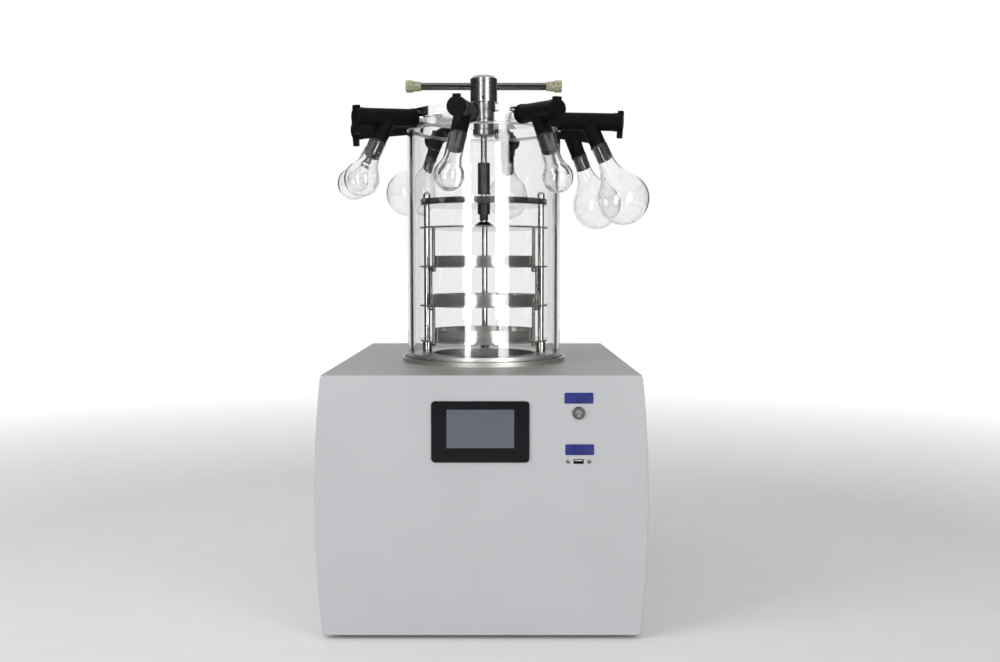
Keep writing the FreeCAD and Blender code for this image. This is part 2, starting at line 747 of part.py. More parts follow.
def make_usb_socket():
    """Data socket: shell with a tongue, and a flange behind the panel for two screws."""
    body = new_body("usb_socket", ("middle_x + button_x", FRONT, "usb_z"))
    shell = box_outline(sketch_on(body, "XZ_Plane"), "0", "0", "usb_w", "usb_high")
    pad(body, shell, "usb_deep", True)
    ears = sketch_on(body, "XZ_Plane", "-panel_thick")
    box_outline(ears, "0", "0", "usb_ear_w", "usb_ear_high")
    pad(body, ears, "2 * usb_wall", True)
    hollow = sketch_on(body, "XZ_Plane")
    box_outline(hollow, "0", "0", "(usb_w - 2 * usb_wall)", "(usb_high - 2 * usb_wall)")
    pocket(body, hollow, "usb_deep - usb_wall")
    tongue = sketch_on(body, "XZ_Plane", "-usb_wall")
    box_outline(tongue, "0", "0.2 * usb_high", "(usb_w - 5 * usb_wall)", "2 * usb_wall")
    pad(body, tongue, "usb_deep - 2 * usb_wall", True)
    holes = sketch_on(body, "XZ_Plane")
    circle(holes, "-usb_screw_x", "0", "screw_r")
    circle(holes, "usb_screw_x", "0", "screw_r")
    pocket_through(body, holes)
    return body


# ---------------------------------------------------------------- rear fittings


def make_mains_inlet():
    """Mains inlet: plate with a plug recess and three pins, and a recess for the rocker."""
    body = new_body("mains_inlet", ("middle_x + inlet_x", REAR, "inlet_z"))
    plate = box_outline(sketch_on(body, "XZ_Plane"), "0", "0", "inlet_w", "inlet_high")
    pad(body, plate, "inlet_plate", True)
    housing = sketch_on(body, "XZ_Plane")
    box_outline(housing, "0", "0", "inlet_body_w", "inlet_body_high")
    pad(body, housing, "inlet_body_deep")
    recess = sketch_on(body, "XZ_Plane", "-inlet_plate")
    half, low = "plug_w / 2", "-plug_down - plug_high / 2"
    high = "-plug_down + plug_high / 2"
    outline(
        recess,
        [
            (f"-{half}", low),
            (half, low),
            (half, f"{high} - plug_high / 3"),
            (f"{half} - plug_high / 3", high),
            (f"-{half} + plug_high / 3", high),
            (f"-{half}", f"{high} - plug_high / 3"),
        ],
    )
    pocket(body, recess, "plug_deep", True)
    pins = sketch_on(body, "XZ_Plane", "plug_deep - inlet_plate")
    for x in ("-blade_pin_x", "0", "blade_pin_x"):
        box_outline(pins, x, "-plug_down", "blade_pin_w", "blade_pin_high")
    pad(body, pins, "plug_deep - inlet_plate", True)
    rocker = sketch_on(body, "XZ_Plane", "-inlet_plate")
    box_outline(rocker, "0", "rocker_up", "(rocker_w + 4 * fit_gap)", "(rocker_high + 4 * fit_gap)")
    pocket(body, rocker, "rocker_deep", True)
    return body


def make_mains_switch():
    """Rocker of the mains switch: two faces that meet over its pivot."""
    y = f"{REAR} + inlet_plate - rocker_deep / 2"
    body = new_body("mains_switch", ("middle_x + inlet_x", y, "inlet_z + rocker_up"))
    root = "0.35 * rocker_high"
    end = "0.42 * rocker_high"
    middle = "rocker_deep / 2"
    side = outline(
        sketch_on(body, "YZ_Plane", "-rocker_w / 2"),
        [
            ("-0.2 * rocker_deep", f"-({root})"),
            (f"{middle} + tan(rocker_face - rocker_swing / 2) * {end}", f"-({end})"),
            (middle, "0"),
            (f"{middle} + tan(rocker_face + rocker_swing / 2) * {end}", end),
            ("-0.2 * rocker_deep", root),
        ],
    )
    pad(body, side, "rocker_w")
    return body


def make_vacuum_port():
    """Vacuum pipe from the cold trap to a clamp flange behind the cabinet."""
    body = new_body("vacuum_port", ("middle_x", AXIS_Y, "vac_z"))
    end = "(cab_depth - axis_back + vac_reach)"
    bore = "vac_r - vac_wall"
    sketch = outline(
        sketch_on(body, "XY_Plane"),
        [
            (bore, "trap_r"),
            ("vac_r", "trap_r"),
            ("vac_r", f"{end} - vac_flange - vac_taper"),
            ("vac_flange_r", f"{end} - vac_flange"),
            ("vac_flange_r", end),
            (bore, end),
        ],
    )
    feature = body.newObject("PartDesign::Revolution", "vacuum_port_turn")
    feature.Profile = sketch
    feature.ReferenceAxis = (sketch, ["V_Axis"])
    feature.Angle = 360
    return body


# ---------------------------------------------------------------- cooling


def make_cold_trap():
    """Stainless cold trap bucket with a flange and a turned lip, pierced for the vacuum pipe."""
    body = new_body("cold_trap", ("middle_x", AXIS_Y, "cab_height"))
    inside = "trap_r - trap_wall"
    turned(
        body,
        [
            ("0", "-trap_deep"),
            ("trap_r - trap_bend_r", "-trap_deep", "trap_bend_r"),
            ("trap_r", "trap_bend_r - trap_deep"),
            ("trap_r", "0"),
            ("rim_r", "0"),
            ("rim_r", "rim_thick + rim_lip"),
            ("rim_r - trap_wall", "rim_thick + rim_lip"),
            ("rim_r - trap_wall", "rim_thick"),
            (inside, "rim_thick"),
            (inside, "trap_bend_r - trap_deep", "-(trap_bend_r - trap_wall)"),
            ("trap_r - trap_bend_r", "trap_wall - trap_deep"),
            ("0", "trap_wall - trap_deep"),
        ],
    )
    hole = circle(sketch_on(body, "XZ_Plane"), "0", "vac_z - cab_height", "vac_r - vac_wall")
    pocket(body, hole, "trap_r + trap_wall")
    return body


def make_trap_insulation():
    """Foam jacket round the cold trap, pierced for the vacuum pipe."""
    body = new_body("trap_insulation", ("middle_x", AXIS_Y, "cab_height"))
    inside = "trap_r + foam_gap"
    top = "-top_thick"
    turned(
        body,
        [
            ("0", "-trap_deep - foam_wall"),
            ("trap_r + foam_wall", "-trap_deep - foam_wall"),
            ("trap_r + foam_wall", top),
            (inside, top),
            (inside, "-trap_deep"),
            ("0", "-trap_deep"),
        ],
    )
    hole = circle(sketch_on(body, "XZ_Plane"), "0", "vac_z - cab_height", "vac_r + fit_gap")
    pocket(body, hole, "trap_r + 2 * foam_wall")
    return body


def make_compressor():
    """Hermetic compressor: welded pot on a base plate with four rubber mounts."""
    at = ("middle_x + comp_x", f"{REAR} - comp_ahead", FLOOR)
    body = new_body("compressor", at)
    low = "(comp_mount_high + comp_plate)"
    turned(
        body,
        [
            ("0", low),
            ("0.8 * comp_r", low),
            ("comp_r", f"{low} + 0.25 * comp_r"),
            ("comp_r", "comp_high - 0.6 * comp_r", "1.1 * comp_r"),
            ("0.35 * comp_r", "comp_high"),
            ("0", "comp_high"),
        ],
    )
    plate = sketch_on(body, "XY_Plane", "comp_mount_high")
    box_outline(plate, "0", "0", "comp_plate_w", "comp_plate_deep")
    pad(body, plate, "comp_plate")
    mounts = sketch_on(body, "XY_Plane")
    for x in ("-(comp_plate_w / 2 - 1.5 * comp_mount_r)", "comp_plate_w / 2 - 1.5 * comp_mount_r"):
        for y in ("-(comp_plate_deep / 2 - 1.5 * comp_mount_r)", "comp_plate_deep / 2 - 1.5 * comp_mount_r"):
            circle(mounts, x, y, "comp_mount_r")
    pad(body, mounts, "comp_mount_high")
    return body


def make_condenser():
    """Finned condenser block in front of the fan."""
    at = ("middle_x + fan_x", f"{REAR} - sheet_thick - fan_box_deep", FLOOR)
    body = new_body("condenser", at)
    block = sketch_on(body, "XY_Plane")
    box_outline(block, "0", "-cond_deep / 2", "cond_w", "cond_deep")
    pad(body, block, "cond_high")
    gaps = sketch_on(body, "XY_Plane")
    middle = "-cond_deep + fin_deep / 2"
    box_outline(gaps, "-(fin_count - 1) / 2 * fin_pitch", middle, "fin_gap", "fin_deep")
    cut = pocket_through(body, gaps)
    row(body, cut, "X_Axis", "fin_pitch", round(value("fin_count")))
    return body


def make_fan_frame():
    """Fan frame on the rear panel: square ring, three arms, motor and shaft."""
    back = f"({REAR} - sheet_thick)"
    body = new_body("fan_frame", ("middle_x + fan_x", back, "fan_z"))
    ring = sketch_on(body, "XZ_Plane")
    box_outline(ring, "0", "0", "fan_box", "fan_box")
    circle(ring, "0", "0", "fan_hole_r")
    pad(body, ring, "fan_box_deep")
    front = sketch_on(body, "XZ_Plane", "fan_box_deep - fan_motor_deep")
    circle(front, "0", "0", "fan_hub_r")
    pad(body, front, "fan_motor_deep")
    arm = sketch_on(body, "XZ_Plane", "fan_box_deep - fan_motor_deep / 2")
    box_outline(arm, "0", "(fan_hub_r + fan_hole_r) / 2", "arm_w", "(fan_hole_r - fan_hub_r + 4)")
    arm_pad = pad(body, arm, "fan_motor_deep / 2")
    ring_of(body, [arm_pad], "Y_Axis", 3)
    shaft = sketch_on(body, "XZ_Plane", "fan_box_deep - fan_motor_deep - fan_hub_deep")
    circle(shaft, "0", "0", "fan_shaft_r")
    pad(body, shaft, "fan_hub_deep")
    return body


def make_condenser_fan():
    """Fan: a hub that runs on the shaft and twisted blades lofted from root to tip."""
    back = f"({REAR} - sheet_thick - fan_box_deep + fan_motor_deep)"
    body = new_body("condenser_fan", ("middle_x + fan_x", back, "fan_z"))
    hub = sketch_on(body, "XZ_Plane", "-fan_hub_deep - run_gap")
    circle(hub, "0", "0", "fan_hub_r")
    pad(body, hub, "fan_hub_deep - 2 * run_gap")
    ends = []
    stations = (
        ("0.92 * fan_hub_r", "blade_root", "blade_root_turn"),
        ("fan_tip_r", "blade_tip", "blade_tip_turn"),
    )
    for radius, width, turn in stations:
        end = sketch_on(body, "XY_Plane", radius)
        end.setExpression("AttachmentOffset.Base.y", bound("fan_hub_deep / 2"))
        spin = Rotation(Vector(0, 0, 1), value(turn))
        end.AttachmentOffset = Placement(Vector(0, value("fan_hub_deep / 2"), value(radius)), spin)
        box_outline(end, "0", "0", width, "blade_thick")
        ends.append(end)
    blade = body.newObject("PartDesign::AdditiveLoft", "condenser_fan_blade")
    blade.Profile = ends[0]
    blade.Sections = [ends[1]]
    blade.Ruled = True
    ring_of(body, [blade], "Y_Axis", round(value("fan_blades")))
    bore = circle(sketch_on(body, "XZ_Plane"), "0", "0", "fan_shaft_r + run_gap")
    pocket_through(body, bore)
    return body


# ---------------------------------------------------------------- drying chamber


def make_rack_base():
    """Support ring in the mouth of the trap, on which the rack stands."""
    body = new_body("rack_base", ("middle_x", AXIS_Y, "0"))
    outer = "(tube_r - tube_wall - rack_base_clear)"
    low = "cab_height + rim_thick"
    turned(
        body,
        [
            (f"{outer} - trap_wall", low),
            (outer, low),
            (outer, "rack_base_z"),
            ("rack_base_r", "rack_base_z"),
            ("rack_base_r", "rack_base_z - trap_wall"),
            (f"{outer} - trap_wall", "rack_base_z - trap_wall"),
        ],
    )
    return body


def make_gaskets():
    """Silicone rings under the chamber and on top of it."""
    rings = []
    inner = "tube_r - tube_wall - 0.3 * gasket_side"
    under = ("cab_height + rim_thick", "tube_low", "tube_r + gasket_side")
    above = ("tube_high", LID_LOW, "tube_r - 2 * gasket_side")
    for low, high, outer in (under, above):
        ring = new_body("gasket", ("middle_x", AXIS_Y, "0"))
        turned(ring, [(inner, low), (outer, low), (outer, high), (inner, high)])
        rings.append(ring)
    return group("gaskets", rings)


def make_chamber_tube():
    """Clear acrylic drying chamber."""
    body = new_body("chamber_tube", ("middle_x", AXIS_Y, "0"))
    inner = "tube_r - tube_wall"
    turned(
        body,
        [(inner, "tube_low"), ("tube_r", "tube_low"), ("tube_r", "tube_high"), (inner, "tube_high")],
    )
    return body


# Degrees by which each port stands off the even spacing round the lid, from the first on.
PORT_SKEW = (0, 0, 0, 0, 0, 5, -2, 0)


def port_frame(index):
    """Frame of a port: origin on the lid's side, X out along the port, which falls outward."""
    turn = value("port_first") + 360 / value("port_count") * index + PORT_SKEW[index]
    centre = Vector(value("middle_x"), value(AXIS_Y), value("port_z"))
    around = Placement(centre, Rotation(Vector(0, 0, 1), turn))
    out = Vector(value("tube_r - port_flat"), 0, 0)
    fall = Placement(out, Rotation(Vector(0, 1, 0), value("port_droop")))
    return around.multiply(fall)


def make_manifold_lid():
    """Acrylic lid: plate and thick skirt, with a ring of sloping ports and their flats."""
    blank = new_body("lid_blank", ("middle_x", AXIS_Y, "0"))
    turned(
        blank,
        [
            ("gland_step_r + run_gap", "lid_high - lid_plate"),
            ("tube_r - lid_skirt", "lid_high - lid_plate"),
            ("tube_r - lid_skirt", LID_LOW),
            ("tube_r", LID_LOW),
            ("tube_r", "lid_high"),
            ("gland_step_r + run_gap", "lid_high"),
        ],
    )
    tools = []
    for index in range(round(value("port_count"))):
        bore = doc.addObject("Part::Cylinder", "port_bore")
        bore.setExpression("Radius", bound("port_r"))
        bore.setExpression("Height", bound("2 * lid_skirt"))
        inward = Placement(Vector(-value("1.5 * lid_skirt"), 0, 0), Rotation(Vector(0, 1, 0), 90))
        bore.Placement = port_frame(index).multiply(inward)
        flat = doc.addObject("Part::Cylinder", "port_flat")
        flat.setExpression("Radius", bound("valve_collar_r + fit_gap"))
        flat.setExpression("Height", bound("lid_skirt"))
        flat.Placement = port_frame(index).multiply(Placement(Vector(), Rotation(Vector(0, 1, 0), 90)))
        tools += [bore, flat]
    drilling = doc.addObject("Part::MultiFuse", "port_drilling")
    drilling.Shapes = tools
    lid = doc.addObject("Part::Cut", "manifold_lid")
    lid.Label = "manifold_lid"
    lid.Base = blank
    lid.Tool = drilling
    return lid


def make_lid_gland():
    """Steel gland through the lid, in which the handle rod turns."""
    body = new_body("lid_gland", ("middle_x", AXIS_Y, "0"))
    bore = "rod_r + run_gap"
    turned(
        body,
        [
            (bore, "gland_low"),
            ("gland_step_r", "gland_low"),
            ("gland_step_r", "lid_high"),
            ("gland_r", "lid_high"),
            ("gland_r", "gland_high"),
            (bore, "gland_high"),
        ],
    )
    return body


def make_lock_rings():
    """Two lock rings that pull the gland up against the lid, the lower one bevelled."""
    body = new_body("lock_rings", ("middle_x", AXIS_Y, "0"))
    top = "(lid_high - lid_plate)"
    split_high = f"({top} - ring_upper)"
    split_low = f"({split_high} - ring_split)"
    low = f"({split_low} - ring_lower)"
    bevel = "0.25 * ring_lower"
    turned(
        body,
        [
            ("gland_step_r + run_gap", low),
            (f"ring_r - {bevel}", low),
            ("ring_r", f"{low} + {bevel}"),
            ("ring_r", split_low),
            ("ring_r - ring_split", split_low),
            ("ring_r - ring_split", split_high),
            ("ring_r - 0.5 * ring_split", split_high),
            ("ring_r - 0.5 * ring_split", top),
            ("gland_step_r + run_gap", top),
        ],
    )
    return body


# ---------------------------------------------------------------- T-handle


def make_handle_hub():
    """Hub of the T-handle, cross-bored for the bar, with a set screw hole low in front."""
    body = new_body("handle_hub", ("middle_x", AXIS_Y, "0"))
    low = "gland_high + hub_rest"
    high = "(gland_high + hub_high)"
    turned(
        body,
        [
            ("0", "bar_z - 1.5 * bar_r"),
            ("rod_r + 0.5 * run_gap", "bar_z - 1.5 * bar_r"),
            ("rod_r + 0.5 * run_gap", low),
            ("hub_r", low),
            ("hub_r", f"{high} - hub_edge"),
            ("hub_r - hub_edge", high),
            ("0", high),
        ],
    )
    cross = circle(sketch_on(body, "YZ_Plane"), "0", "bar_z", "bar_r + 0.5 * run_gap")
    pocket_through(body, cross)
    screw = circle(sketch_on(body, "XZ_Plane", "0.6 * hub_r"), "0", "set_screw_z", "set_screw_r")
    pocket(body, screw, "hub_r", True)
    return body


def make_handle_bar():
    """Cross bar of the T-handle."""
    body = new_body("handle_bar", ("middle_x", AXIS_Y, "bar_z"))
    half = "(grip_reach - grip_long + grip_cover)"
    section = circle(sketch_on(body, "YZ_Plane", f"-{half}"), "0", "0", "bar_r")
    pad(body, section, f"2 * {half}")
    return body


def make_handle_grips():
    """Moulded grips on the bar ends, tapered towards the bar."""
    grips = []
    for turn in (0, 180):
        body = new_body("handle_grip", ("middle_x", AXIS_Y, "bar_z"))
        body.Placement.Rotation = Rotation(Vector(0, 0, 1), turn)
        start = "(grip_reach - grip_long)"
        hole_end = f"({start} + grip_cover)"
        turned(
            body,
            [
                (start, "bar_r + 0.5 * run_gap"),
                (hole_end, "bar_r + 0.5 * run_gap"),
                (hole_end, "0"),
                ("grip_reach", "0"),
                ("grip_reach", "grip_r - 1"),
                ("grip_reach - 1", "grip_r"),
                (f"{start} + 0.55 * grip_long", "grip_r"),
                (f"{start} + 0.5 * grip_long", "0.85 * grip_r"),
                (start, "0.75 * grip_r"),
            ],
            "H_Axis",
        )
        grips.append(body)
    return group("handle_grips", grips)


def make_handle_rod():
    """Rod of the T-handle, through the gland and into the drive sleeve."""
    body = new_body("handle_rod", ("middle_x", AXIS_Y, "0"))
    high = "(bar_z - 1.5 * bar_r)"
    turned(body, [("0", "rod_low"), ("rod_r", "rod_low"), ("rod_r", high), ("0", high)])
    return body


def make_drive_sleeve():
    """Drive sleeve on the rod, with a square hole that the press screw slides in."""
    body = new_body("drive_sleeve", ("middle_x", AXIS_Y, "0"))
    turned(
        body,
        [
            ("0", "sleeve_low"),
            ("sleeve_r", "sleeve_low"),
            ("sleeve_r", "sleeve_high"),
            ("rod_r + 0.5 * run_gap", "sleeve_high"),
            ("rod_r + 0.5 * run_gap", "rod_low"),
            ("0", "rod_low"),
        ],
    )
    width = "(2 * (square_half + square_gap))"
    square = sketch_on(body, "XY_Plane", "sleeve_low")
    box_outline(square, "0", "0", width, width)
    pocket(body, square, "rod_low - sleeve_low", True)
    return body


# ---------------------------------------------------------------- rack and press


POST_PLACES = (("-post_x", "0"), ("post_x", "0"), ("0", "post_x"))
PIN_TURNS = {1: (205, 335), 2: (193, 347), 3: (205, 335)}


def pin_places(level):
    """Centres of the pins that hang one shelf from the next, as expressions."""
    return [(f"pin_at * cos({turn})", f"pin_at * sin({turn})") for turn in PIN_TURNS[level]]


def make_rack_posts():
    """Three posts: foot, shaft and the stud that the top plate sits over."""
    posts = []
    for x, y in POST_PLACES:
        body = new_body("post", (f"middle_x + {x}", f"{AXIS_Y} + {y}", "0"))
        foot_top = "rack_base_z + post_foot_high"
        turned(
            body,
            [
                ("0", "rack_base_z"),
                ("post_foot_r", "rack_base_z"),
                ("post_foot_r", foot_top),
                ("post_r", foot_top),
                ("post_r", "plate_low"),
                ("post_stud_r", "plate_low"),
                ("post_stud_r", f"{PLATE_TOP} + post_stud_up"),
                ("0", f"{PLATE_TOP} + post_stud_up"),
            ],
        )
        posts.append(body)
    return group("rack_posts", posts)


def make_rack_top_plate():
    """Thick top plate of the rack, bored for the studs and the press nut."""
    body = new_body("rack_top_plate", ("middle_x", AXIS_Y, "plate_low"))
    sketch = circle(sketch_on(body, "XY_Plane"), "0", "0", "plate_r")
    circle(sketch, "0", "0", "press_nut_step_r + run_gap")
    for x, y in POST_PLACES:
        circle(sketch, x, y, "post_stud_r + run_gap")
    pad(body, sketch, "plate_thick")
    return body


def make_post_nuts():
    """Dome nuts on the studs."""
    nuts = []
    for x, y in POST_PLACES:
        body = new_body("dome_nut", (f"middle_x + {x}", f"{AXIS_Y} + {y}", PLATE_TOP))
        bore = "post_stud_r + run_gap"
        turned(
            body,
            [
                (bore, "0"),
                ("dome_r", "0"),
                ("dome_r", "0.5 * dome_high", "1.1 * dome_r"),
                ("0.3 * dome_r", "dome_high"),
                ("0", "dome_high"),
                ("0", "post_stud_up"),
                (bore, "post_stud_up"),
            ],
        )
        nuts.append(body)
    return group("post_nuts", nuts)


def make_press_nut():
    """Threaded nut fixed in the top plate."""
    body = new_body("press_nut", ("middle_x", AXIS_Y, "0"))
    bore = "rod_r + run_gap"
    turned(
        body,
        [
            (bore, "press_nut_low"),
            ("press_nut_waist_r", "press_nut_low"),
            ("press_nut_waist_r", "plate_low - press_nut_head"),
            ("press_nut_r", "plate_low - press_nut_head"),
            ("press_nut_r", "plate_low"),
            ("press_nut_step_r", "plate_low"),
            ("press_nut_step_r", PLATE_TOP),
            (bore, PLATE_TOP),
        ],
    )
    return body


def make_press_screw():
    """Press screw: threaded length through the nut and a square drive above it."""
    body = new_body("press_screw", ("middle_x", AXIS_Y, "0"))
    low = "(shelf_top_1 + press_foot_high - press_seat)"
    turned(body, [("0", low), ("rod_r", low), ("rod_r", "sleeve_low - 1"), ("0", "sleeve_low - 1")])
    square = sketch_on(body, "XY_Plane", "sleeve_low - 1")
    box_outline(square, "0", "0", "(2 * square_half)", "(2 * square_half)")
    pad(body, square, "square_high - sleeve_low + 1")
    return body


def make_press_foot():
    """Thrust pad fixed on the first shelf, in which the screw's end turns."""
    body = new_body("press_foot", ("middle_x", AXIS_Y, "shelf_top_1"))
    socket = "press_foot_high - press_seat - run_gap"
    turned(
        body,
        [
            ("0", "0"),
            ("press_foot_r", "0"),
            ("press_foot_r", "press_foot_edge"),
            ("press_foot_neck_r", "press_foot_high"),
            ("rod_r + run_gap", "press_foot_high"),
            ("rod_r + run_gap", socket),
            ("0", socket),
        ],
    )
    return body


def make_shelf(number):
    """One round shelf, bored for the posts and for the pins of the levels beside it."""
    low = f"{SHELF_TOPS[number - 1]} - shelf_thick"
    body = new_body(f"shelf_{number}", ("middle_x", AXIS_Y, low))
    sketch = circle(sketch_on(body, "XY_Plane"), "0", "0", "shelf_r")
    for x, y in POST_PLACES:
        circle(sketch, x, y, "post_r + slide_gap")
    if number < 4:
        for x, y in pin_places(number):
            circle(sketch, x, y, "pin_r + 0.5 * run_gap")
    if number > 1:
        for x, y in pin_places(number - 1):
            circle(sketch, x, y, "pin_r + slide_gap")
    pad(body, sketch, "shelf_thick")
    return body


def make_tray(number):
    """Polished tray that stands on a shelf."""
    body = new_body(f"tray_{number}", ("middle_x", AXIS_Y, SHELF_TOPS[number - 1]))
    turned(
        body,
        [
            ("0", "0"),
            ("tray_r", "0"),
            ("tray_r", "tray_high"),
            ("tray_r - tray_wall", "tray_high"),
            ("tray_r - tray_wall", "tray_wall"),
            ("0", "tray_wall"),
        ],
    )
    return body


def make_link_pins(level):
    """Pins fixed in one shelf that carry the next one on their heads."""
    pins = []
    upper = SHELF_TOPS[level - 1]
    lower = SHELF_TOPS[level]
    head = f"({lower} - shelf_thick)"
    for x, y in pin_places(level):
        body = new_body("link_pin", (f"middle_x + {x}", f"{AXIS_Y} + {y}", "0"))
        turned(
            body,
            [
                ("0", f"{head} - pin_head"),
                ("pin_head_r - 1.5", f"{head} - pin_head"),
                ("pin_head_r", f"{head} - pin_head + 2"),
                ("pin_head_r", f"{head} - 1"),
                ("pin_head_r - 0.4", head),
                ("pin_r", head),
                ("pin_r", upper),
                ("0", upper),
            ],
        )
        pins.append(body)
    return group(f"link_pins_{level}", pins)


# ---------------------------------------------------------------- valves and flasks

# The rubber gives under each flask. From the first port on, in degrees: how far the branch
# leans sideways about its port, and how far it bends out beyond its moulded slant.
LEAN = (0, 5, 17, 0, 0, -7.5, 3.5, 0)
BEND = (0, 0, 0, 7, 0, 0, 0, 0)


def valve_frame(index):
    """Frame of a valve: that of its port, turned about the port by the valve's lean."""
    return port_frame(index).multiply(Placement(Vector(), Rotation(Vector(1, 0, 0), LEAN[index])))


def branch_frame(index):
    """Frame of a valve's branch: origin on the valve's axis, Z back up along the branch."""
    tilt = Rotation(Vector(0, 1, 0), -value("branch_tilt") - BEND[index])
    return valve_frame(index).multiply(Placement(Vector(value("branch_at"), 0, 0), tilt))


def turned_aslant(body, index, corners, kind):
    """Turn a profile about the branch, which leaves the valve's axis at a slant."""
    sketch = sketch_on(body, "XZ_Plane")
    slant = Rotation(Vector(0, 0, 1), 180 + value("branch_tilt") + BEND[index])
    sketch.AttachmentOffset = Placement(Vector(value("branch_at"), 0, 0), slant)
    outline(sketch, corners)
    feature = body.newObject("PartDesign::" + kind, body.Name + "_branch")
    feature.Profile = sketch
    feature.ReferenceAxis = (sketch, ["V_Axis"])
    feature.Angle = 360
    return feature


def make_valve(index):
    """Rubber valve: spigot in the lid, body with a bore for the knob's spindle, and a
    slanting branch down to the flask's stopper."""
    body = new_body("valve")
    body.Placement = valve_frame(index)
    turned(
        body,
        [
            ("-spigot_long", "0"),
            ("valve_long", "0"),
            ("valve_long", "valve_r"),
            ("valve_collar_long", "valve_r"),
            ("valve_collar_long", "valve_collar_r"),
            ("0", "valve_collar_r"),
            ("0", "port_r - run_gap"),
            ("-spigot_long", "port_r - run_gap"),
        ],
        "H_Axis",
    )
    branch = [
        ("0", "0"),
        ("branch_root_r", "0"),
        ("branch_r", "lip_at - stop_thick"),
        ("0", "lip_at - stop_thick"),
    ]
    turned_aslant(body, index, branch, "Revolution")
    core_start = "(valve_long - core_long - run_gap)"
    grooved(
        body,
        [
            ("-spigot_long", "0"),
            ("valve_long", "0"),
            ("valve_long", "core_r + run_gap"),
            (core_start, "core_r + run_gap"),
            (core_start, "gas_r"),
            ("-spigot_long", "gas_r"),
        ],
        "H_Axis",
    )
    end = "lip_at - stop_thick"
    gas = [("0", "0"), ("gas_r", "0"), ("gas_r", end), ("0", end)]
    turned_aslant(body, index, gas, "Groove")
    return body


def make_stopper(index):
    """Bored rubber stopper on the end of a branch: a shoulder and a plug in the flask's neck."""
    body = new_body("stopper")
    lip = Placement(Vector(0, 0, -value("lip_at")), Rotation())
    body.Placement = branch_frame(index).multiply(lip)
    turned(
        body,
        [
            ("gas_r", "-plug_long"),
            ("plug_r - 1.5", "-plug_long"),
            ("plug_r", "-plug_long + 1.5"),
            ("plug_r", "0"),
            ("stop_r", "0"),
            ("stop_r", "stop_thick"),
            ("gas_r", "stop_thick"),
        ],
    )
    return body


def make_valve_knob(index):
    """Valve knob: cap with a pointed lever, and a spindle that turns in the valve."""
    body = new_body(f"valve_knob_{index + 1}")
    body.Placement = port_frame(index)
    start = "(valve_long + run_gap)"
    turned(
        body,
        [
            ("valve_long - core_long", "0"),
            (f"{start} + knob_long", "0"),
            (f"{start} + knob_long", "knob_r - 1.5"),
            (f"{start} + knob_long - 1.5", "knob_r"),
            (start, "knob_r"),
            (start, "core_r"),
            ("valve_long - core_long", "core_r"),
        ],
        "H_Axis",
    )
    far = f"({start} + knob_long)"
    lever = sketch_on(body, "YZ_Plane", f"{far} - lever_thick")
    half = "lever_w / 2"
    outline(
        lever,
        [
            (f"-0.7 * {half}", "-lever_down"),
            (f"0.7 * {half}", "-lever_down"),
            (half, "0"),
            (half, "lever_up"),
            (f"-{half}", "lever_up"),
            (f"-{half}", "0"),
        ],
    )
    pad(body, lever, "lever_thick + 0.5")
    return body


def make_flask(index, word):
    """Blown glass flask: straight neck that flows into a round body, open at the lip."""
    body = new_body("flask")
    lip = Placement(Vector(0, 0, -value("lip_at")), Rotation())
    body.Placement = branch_frame(index).multiply(lip)
    radius = word + "_r"
    bend = word + "_shoulder"
    inside = "(plug_r + neck_gap)"
    neck = f"({inside} + neck_wall)"
    # The shoulder arc touches both the neck line and the body's circle.
    reach = f"({radius} + {bend})"
    centre_x = f"({neck} + {bend})"
    centre_z = f"(-{word}_neck)"
    rise = f"sqrt({reach} ^ 2 - {centre_x} ^ 2)"
    drop = f"({word}_neck + {rise})"
    meet_x = f"({centre_x} * {radius} / {reach})"
    meet_z = f"({rise} * {radius} / {reach} - {drop})"
    inner_r = f"({radius} - neck_wall)"
    inner_x = f"({centre_x} * {inner_r} / {reach})"
    inner_z = f"({rise} * {inner_r} / {reach} - {drop})"
    turned(
        body,
        [
            ("0", f"-{drop} - {radius}", radius),
            (meet_x, meet_z, "-" + bend),
            (neck, centre_z),
            (neck, "0"),
            (inside, "0"),
            (inside, centre_z, f"({bend} + neck_wall)"),
            (inner_x, inner_z, "-" + inner_r),
            ("0", f"-{drop} - {inner_r}"),
        ],
    )
    return body


# ---------------------------------------------------------------- build and write


def build_parts():
    """Make every sub-part, in the order in which the machine is put together."""
    parts = [
        make_cabinet_shell(),
        make_front_panel(),
        make_top_panel(),
        make_rear_panel(),
        make_feet(),
        make_screen_bezel(),
        make_screen_display(),
        make_button_bezel(),
        make_push_button(),
        make_usb_socket(),
        make_mains_inlet(),
        make_mains_switch(),
        make_vacuum_port(),
        make_cold_trap(),
        make_trap_insulation(),
        make_compressor(),
        make_condenser(),
        make_fan_frame(),
        make_condenser_fan(),
        make_rack_base(),
        make_gaskets(),
        make_chamber_tube(),
        make_manifold_lid(),
        make_lid_gland(),
        make_lock_rings(),
        make_handle_hub(),
        make_handle_bar(),
        make_handle_grips(),
        make_handle_rod(),
        make_drive_sleeve(),
        make_rack_posts(),
        make_rack_top_plate(),
        make_post_nuts(),
        make_press_nut(),
        make_press_screw(),
        make_press_foot(),
    ]
    parts += [make_shelf(number) for number in (1, 2, 3, 4)]
    parts += [make_tray(number) for number in (2, 3, 4)]
    parts += [make_link_pins(level) for level in (1, 2, 3)]
    ports = range(round(value("port_count")))
    parts.append(group("valve_bodies", [make_valve(index) for index in ports]))
    parts.append(group("flask_stoppers", [make_stopper(index) for index in ports]))
    parts += [make_valve_knob(index) for index in ports]
    for name, word, _radius, _neck, _shoulder, places in FLASKS:
        parts.append(group(name, [make_flask(index, word) for index in places]))
    return parts


